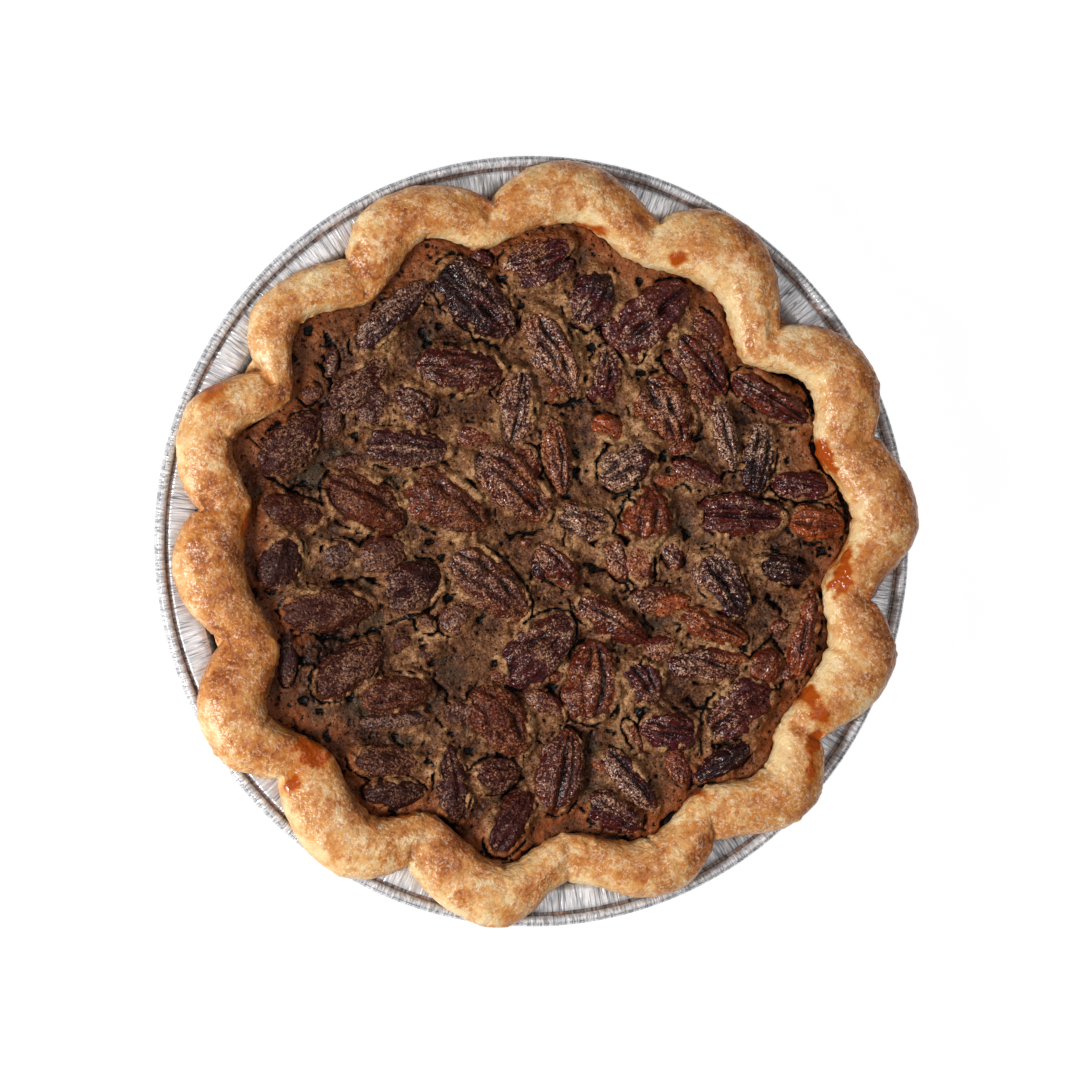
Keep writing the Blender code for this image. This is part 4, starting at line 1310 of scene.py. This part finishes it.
def pecan_material(name, gloss):
    """Pecan: maroon to purple black, with a grainy tan film of filling over part of it, painted shade in its
    clefts and pits, and painted shade over nuts on the key lamp's side.
    """
    nodes = Nodes(name)
    fine = nodes.noise(0.8, 3.0, roughness=0.7)
    specks = nodes.noise(0.5, roughness=0.6)
    broad = nodes.noise(3.2)
    tone = nodes.mark("tone")
    key_side_shade = nodes.mark("painted_shade")
    pits = nodes.pits(1.3, 0.16, 0.28, 2.2, 0.53)
    flesh = nodes.ramp(tone, (
        (0.0, (184, 82, 28)),
        (0.25, (128, 46, 20)),
        (0.55, (98, 29, 20)),
        (0.8, (92, 22, 34)),
        (1.0, (38, 14, 22)),
    ))
    # Painted shade over nuts on the key lamp's side darkens their flesh, film and grains.
    flesh = nodes.mix(nodes.span(key_side_shade, 0.0, 1.0, 0.0, 0.60), flesh, (38, 12, 8))
    flesh = nodes.mix(nodes.span(broad, 0.35, 0.7, 0.0, 0.6), flesh, (40, 12, 9))
    flesh = nodes.mix(nodes.span(fine, 0.50, 0.64, 0.0, 0.6), flesh, (34, 10, 8))
    level = nodes.plus(nodes.span(fine, 0.34, 0.66), nodes.span(broad, 0.3, 0.7, -0.25, 0.25))
    skin = nodes.minus(nodes.span(nodes.mark("cover"), 0.0, 1.0, 0.02, 0.64), level)
    purple = nodes.span(tone, 0.25, 0.65)
    film = nodes.mix(purple, (112, 52, 28), (94, 43, 34))
    film = nodes.mix(nodes.span(key_side_shade, 0.0, 1.0, 0.0, 0.85), film, (62, 32, 22))
    filmed = nodes.span(skin, -0.5, 0.3, 0.0, 0.65)
    filmed = nodes.plus(filmed, nodes.span(key_side_shade, 0.2, 1.0, 0.0, 0.30), clamp=True)
    colour = nodes.mix(filmed, flesh, film)
    grains = nodes.mix(purple, (206, 136, 88), (230, 186, 150))
    grains = nodes.mix(nodes.span(key_side_shade, 0.0, 1.0, 0.0, 0.8), grains, (134, 84, 58))
    grained = nodes.times(nodes.span(skin, -0.04, 0.34), nodes.span(specks, 0.40, 0.62, 0.12, 1.0))
    colour = nodes.mix(nodes.times(grained, 0.9), colour, grains)
    colour = nodes.mix(nodes.span(specks, 0.36, 0.45, 0.65, 0.0), colour, (26, 10, 8))
    # Clefts and pits painted near black, as painted shade.
    painted_shade = nodes.larger(nodes.times(nodes.mark("cavity_shade"), 0.85), pits)
    colour = nodes.mix(painted_shade, colour, (20, 7, 8))
    rough = nodes.plus(nodes.span(fine, 0.3, 0.7, 0.17, 0.32), nodes.span(key_side_shade, 0.3, 0.9, 0.0, 0.22))
    return nodes.finish({
        "Base Color": colour,
        "Roughness": rough,
        "Specular IOR Level": gloss,
        "Normal": nodes.bump(nodes.minus(nodes.noise(1.3, 1.0), pits), 0.85),
    })


def foil_material():
    """Dull bright pressed foil: radial creases, a notched bead, a brown line in its groove, with painted
    shade and bluish reflection in the creases and along the rim line, painted shade in the bead's notches,
    and painted highlights and shade along the wrinkles.
    """
    nodes = Nodes("foil")
    radius = nodes.add("SeparateXYZ", "Z", {0: nodes.grain()})
    bead = nodes.mark("bead")
    clouds = nodes.noise(6.0, 3.0, (1.0, 1.0, 0.4))
    folds = nodes.noise(2.0, 1.0, (1.0, 1.0, 0.08))
    wrinkles = nodes.noise(0.9, 1.0, (1.0, 1.0, 0.10))
    notches = nodes.noise(0.9, 1.0, (1.0, 1.0, 0.25))
    ticks = nodes.noise(0.55, 1.0, (1.0, 1.0, 0.25))
    # Painted shade and bluish reflection in the radial creases.
    crease_shade = nodes.times(nodes.band(folds, 0.5, 0.0, 0.04), nodes.span(bead, 0.0, 1.0, 0.75, 0.0))
    crease_shade = nodes.times(crease_shade, nodes.span(clouds, 0.40, 0.55, 0.45, 1.0))
    # Painted shade in the bead's notches.
    notch_shade = nodes.times(nodes.span(ticks, 0.38, 0.50, 1.0, 0.0), bead)
    # A line of painted shade along the rolled lip's edge.
    line = nodes.band(radius, RIM_LINE_RADIUS, 0.06, 0.14)
    line = nodes.times(line, nodes.span(notches, 0.45, 0.55, 0.0, 0.7))
    stain = nodes.times(nodes.band(radius, GROOVE_RADIUS, 0.42, 0.45), nodes.mark("raised"))
    stain = nodes.times(stain, nodes.span(notches, 0.3, 0.7, 0.7, 1.0))
    colour = nodes.mix(nodes.span(clouds, 0.3, 0.7), (236, 234, 234), (206, 205, 208))
    # Painted shade and painted highlights along the wrinkles.
    colour = nodes.mix(nodes.span(wrinkles, 0.35, 0.50, 0.35, 0.0), colour, (150, 150, 156))
    colour = nodes.mix(nodes.span(wrinkles, 0.56, 0.66, 0.0, 0.7), colour, (250, 250, 252))
    colour = nodes.mix(nodes.times(notch_shade, 0.65), colour, (128, 126, 130))
    colour = nodes.mix(nodes.larger(crease_shade, line), colour, (58, 60, 74))
    brown = nodes.mix(nodes.span(clouds, 0.42, 0.60), (66, 47, 42), (128, 90, 66))
    colour = nodes.mix(stain, colour, brown)
    relief = nodes.plus(wrinkles, nodes.times(notches, 0.5))
    return nodes.finish({
        "Base Color": colour,
        "Metallic": nodes.minus(0.40, nodes.times(nodes.larger(bead, stain), 0.18)),
        "Roughness": nodes.span(clouds, 0.3, 0.7, 0.30, 0.42),
        "Normal": nodes.bump(relief, 0.35),
    })


def floor_material():
    """A plain, very pale floor."""
    return Nodes("floor").finish({
        "Base Color": (0.12, 0.12, 0.12, 1.0),
        "Roughness": 0.9,
        "Emission Color": (1.0, 1.0, 1.0, 1.0),
        "Emission Strength": 0.95,
    })


# ---------------------------------------------------------- stage and camera

CAMERA_TILT = 12.0
CAMERA_DISTANCE = 12000.0
FRAME_WIDTH = 343.1
PIE_OFF_CENTRE = (2.16, 0.38)
FLOOR_SIDES = 96
FLOOR_RADIUS = 2.5


def make_floor():
    """A wide round floor, level with the tin's foot."""
    mesh = bpy.data.meshes.new("floor")
    turns = [math.tau * side / FLOOR_SIDES for side in range(FLOOR_SIDES)]
    ring = [(FLOOR_RADIUS * math.cos(turn), FLOOR_RADIUS * math.sin(turn), 0.0) for turn in turns]
    mesh.from_pydata(ring, [], [list(range(FLOOR_SIDES))])
    mesh.materials.append(floor_material())
    floor = bpy.data.objects.new("floor", mesh)
    bpy.context.scene.collection.objects.link(floor)


def add_light(name, place, size, power):
    """A soft square lamp that faces the pie."""
    light = bpy.data.lights.new(name, "AREA")
    light.size = size
    light.energy = power
    lamp = bpy.data.objects.new(name, light)
    lamp.location = place
    towards_pie = Vector((0.0, 0.0, 0.03)) - Vector(place)
    lamp.rotation_euler = towards_pie.to_track_quat("-Z", "Y").to_euler()
    bpy.context.scene.collection.objects.link(lamp)


def make_lights():
    """Soft overhead light, a stronger lamp from the left, and a dim pale room."""
    add_light("key", (-1.05, -0.38, 1.00), 0.32, 21.0)
    add_light("overhead", (0.25, 0.10, 1.4), 0.9, 4.5)
    world = bpy.data.worlds.new("room")
    world.use_nodes = True
    background = world.node_tree.nodes["Background"]
    background.inputs["Color"].default_value = (1.0, 1.0, 1.0, 1.0)
    background.inputs["Strength"].default_value = 0.09
    bpy.context.scene.world = world


def make_camera():
    """The camera: a very long lens almost overhead, leaning to the pie's -X side."""
    tilt = math.radians(CAMERA_TILT)
    right = Vector((math.cos(tilt), 0.0, math.sin(tilt)))
    up = Vector((0.0, 1.0, 0.0))
    back = right.cross(up)
    aim = Vector((0.0, 0.0, TIN_HEIGHT)) + right * PIE_OFF_CENTRE[0] + up * PIE_OFF_CENTRE[1]
    data = bpy.data.cameras.new("camera")
    data.sensor_width = 36.0
    data.lens = data.sensor_width * CAMERA_DISTANCE / FRAME_WIDTH
    data.clip_end = 100.0
    camera = bpy.data.objects.new("camera", data)
    camera.matrix_world = Matrix.Translation((aim + back * CAMERA_DISTANCE) * MM) @ Matrix(
        (right, up, back)
    ).transposed().to_4x4()
    bpy.context.scene.collection.objects.link(camera)
    bpy.context.scene.camera = camera


def main():
    """Dresses the pie, sets the stage and finishes."""
    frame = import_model()
    solids_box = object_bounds()
    limits = np.array([[value / MM for value in corner] for corner in solids_box])
    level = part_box("filling")[1].z / MM
    materials = {
        "pastry": pastry_material(),
        "custard": custard_material(),
        "pecan": pecan_material("pecan", NUT_GLOSS),
        "pecan_coated": pecan_material("pecan_coated", COATED_GLOSS),
        "foil": foil_material(),
    }
    rope = rope_columns()
    nuts = read_nuts(frame["nodes"], level)
    bits = bit_nuts(level)
    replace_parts(make_rope(rope, materials, limits), "crust")
    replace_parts(make_filling(rope, nuts + bits, level, materials), "filling")
    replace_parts(make_tin(materials), "tin")
    for nut in nuts:
        make_nut(nut, materials)
    make_bits(bits, materials)
    make_floor()
    make_lights()
    make_camera()
    bpy.context.scene.view_settings.view_transform = "Standard"


main()
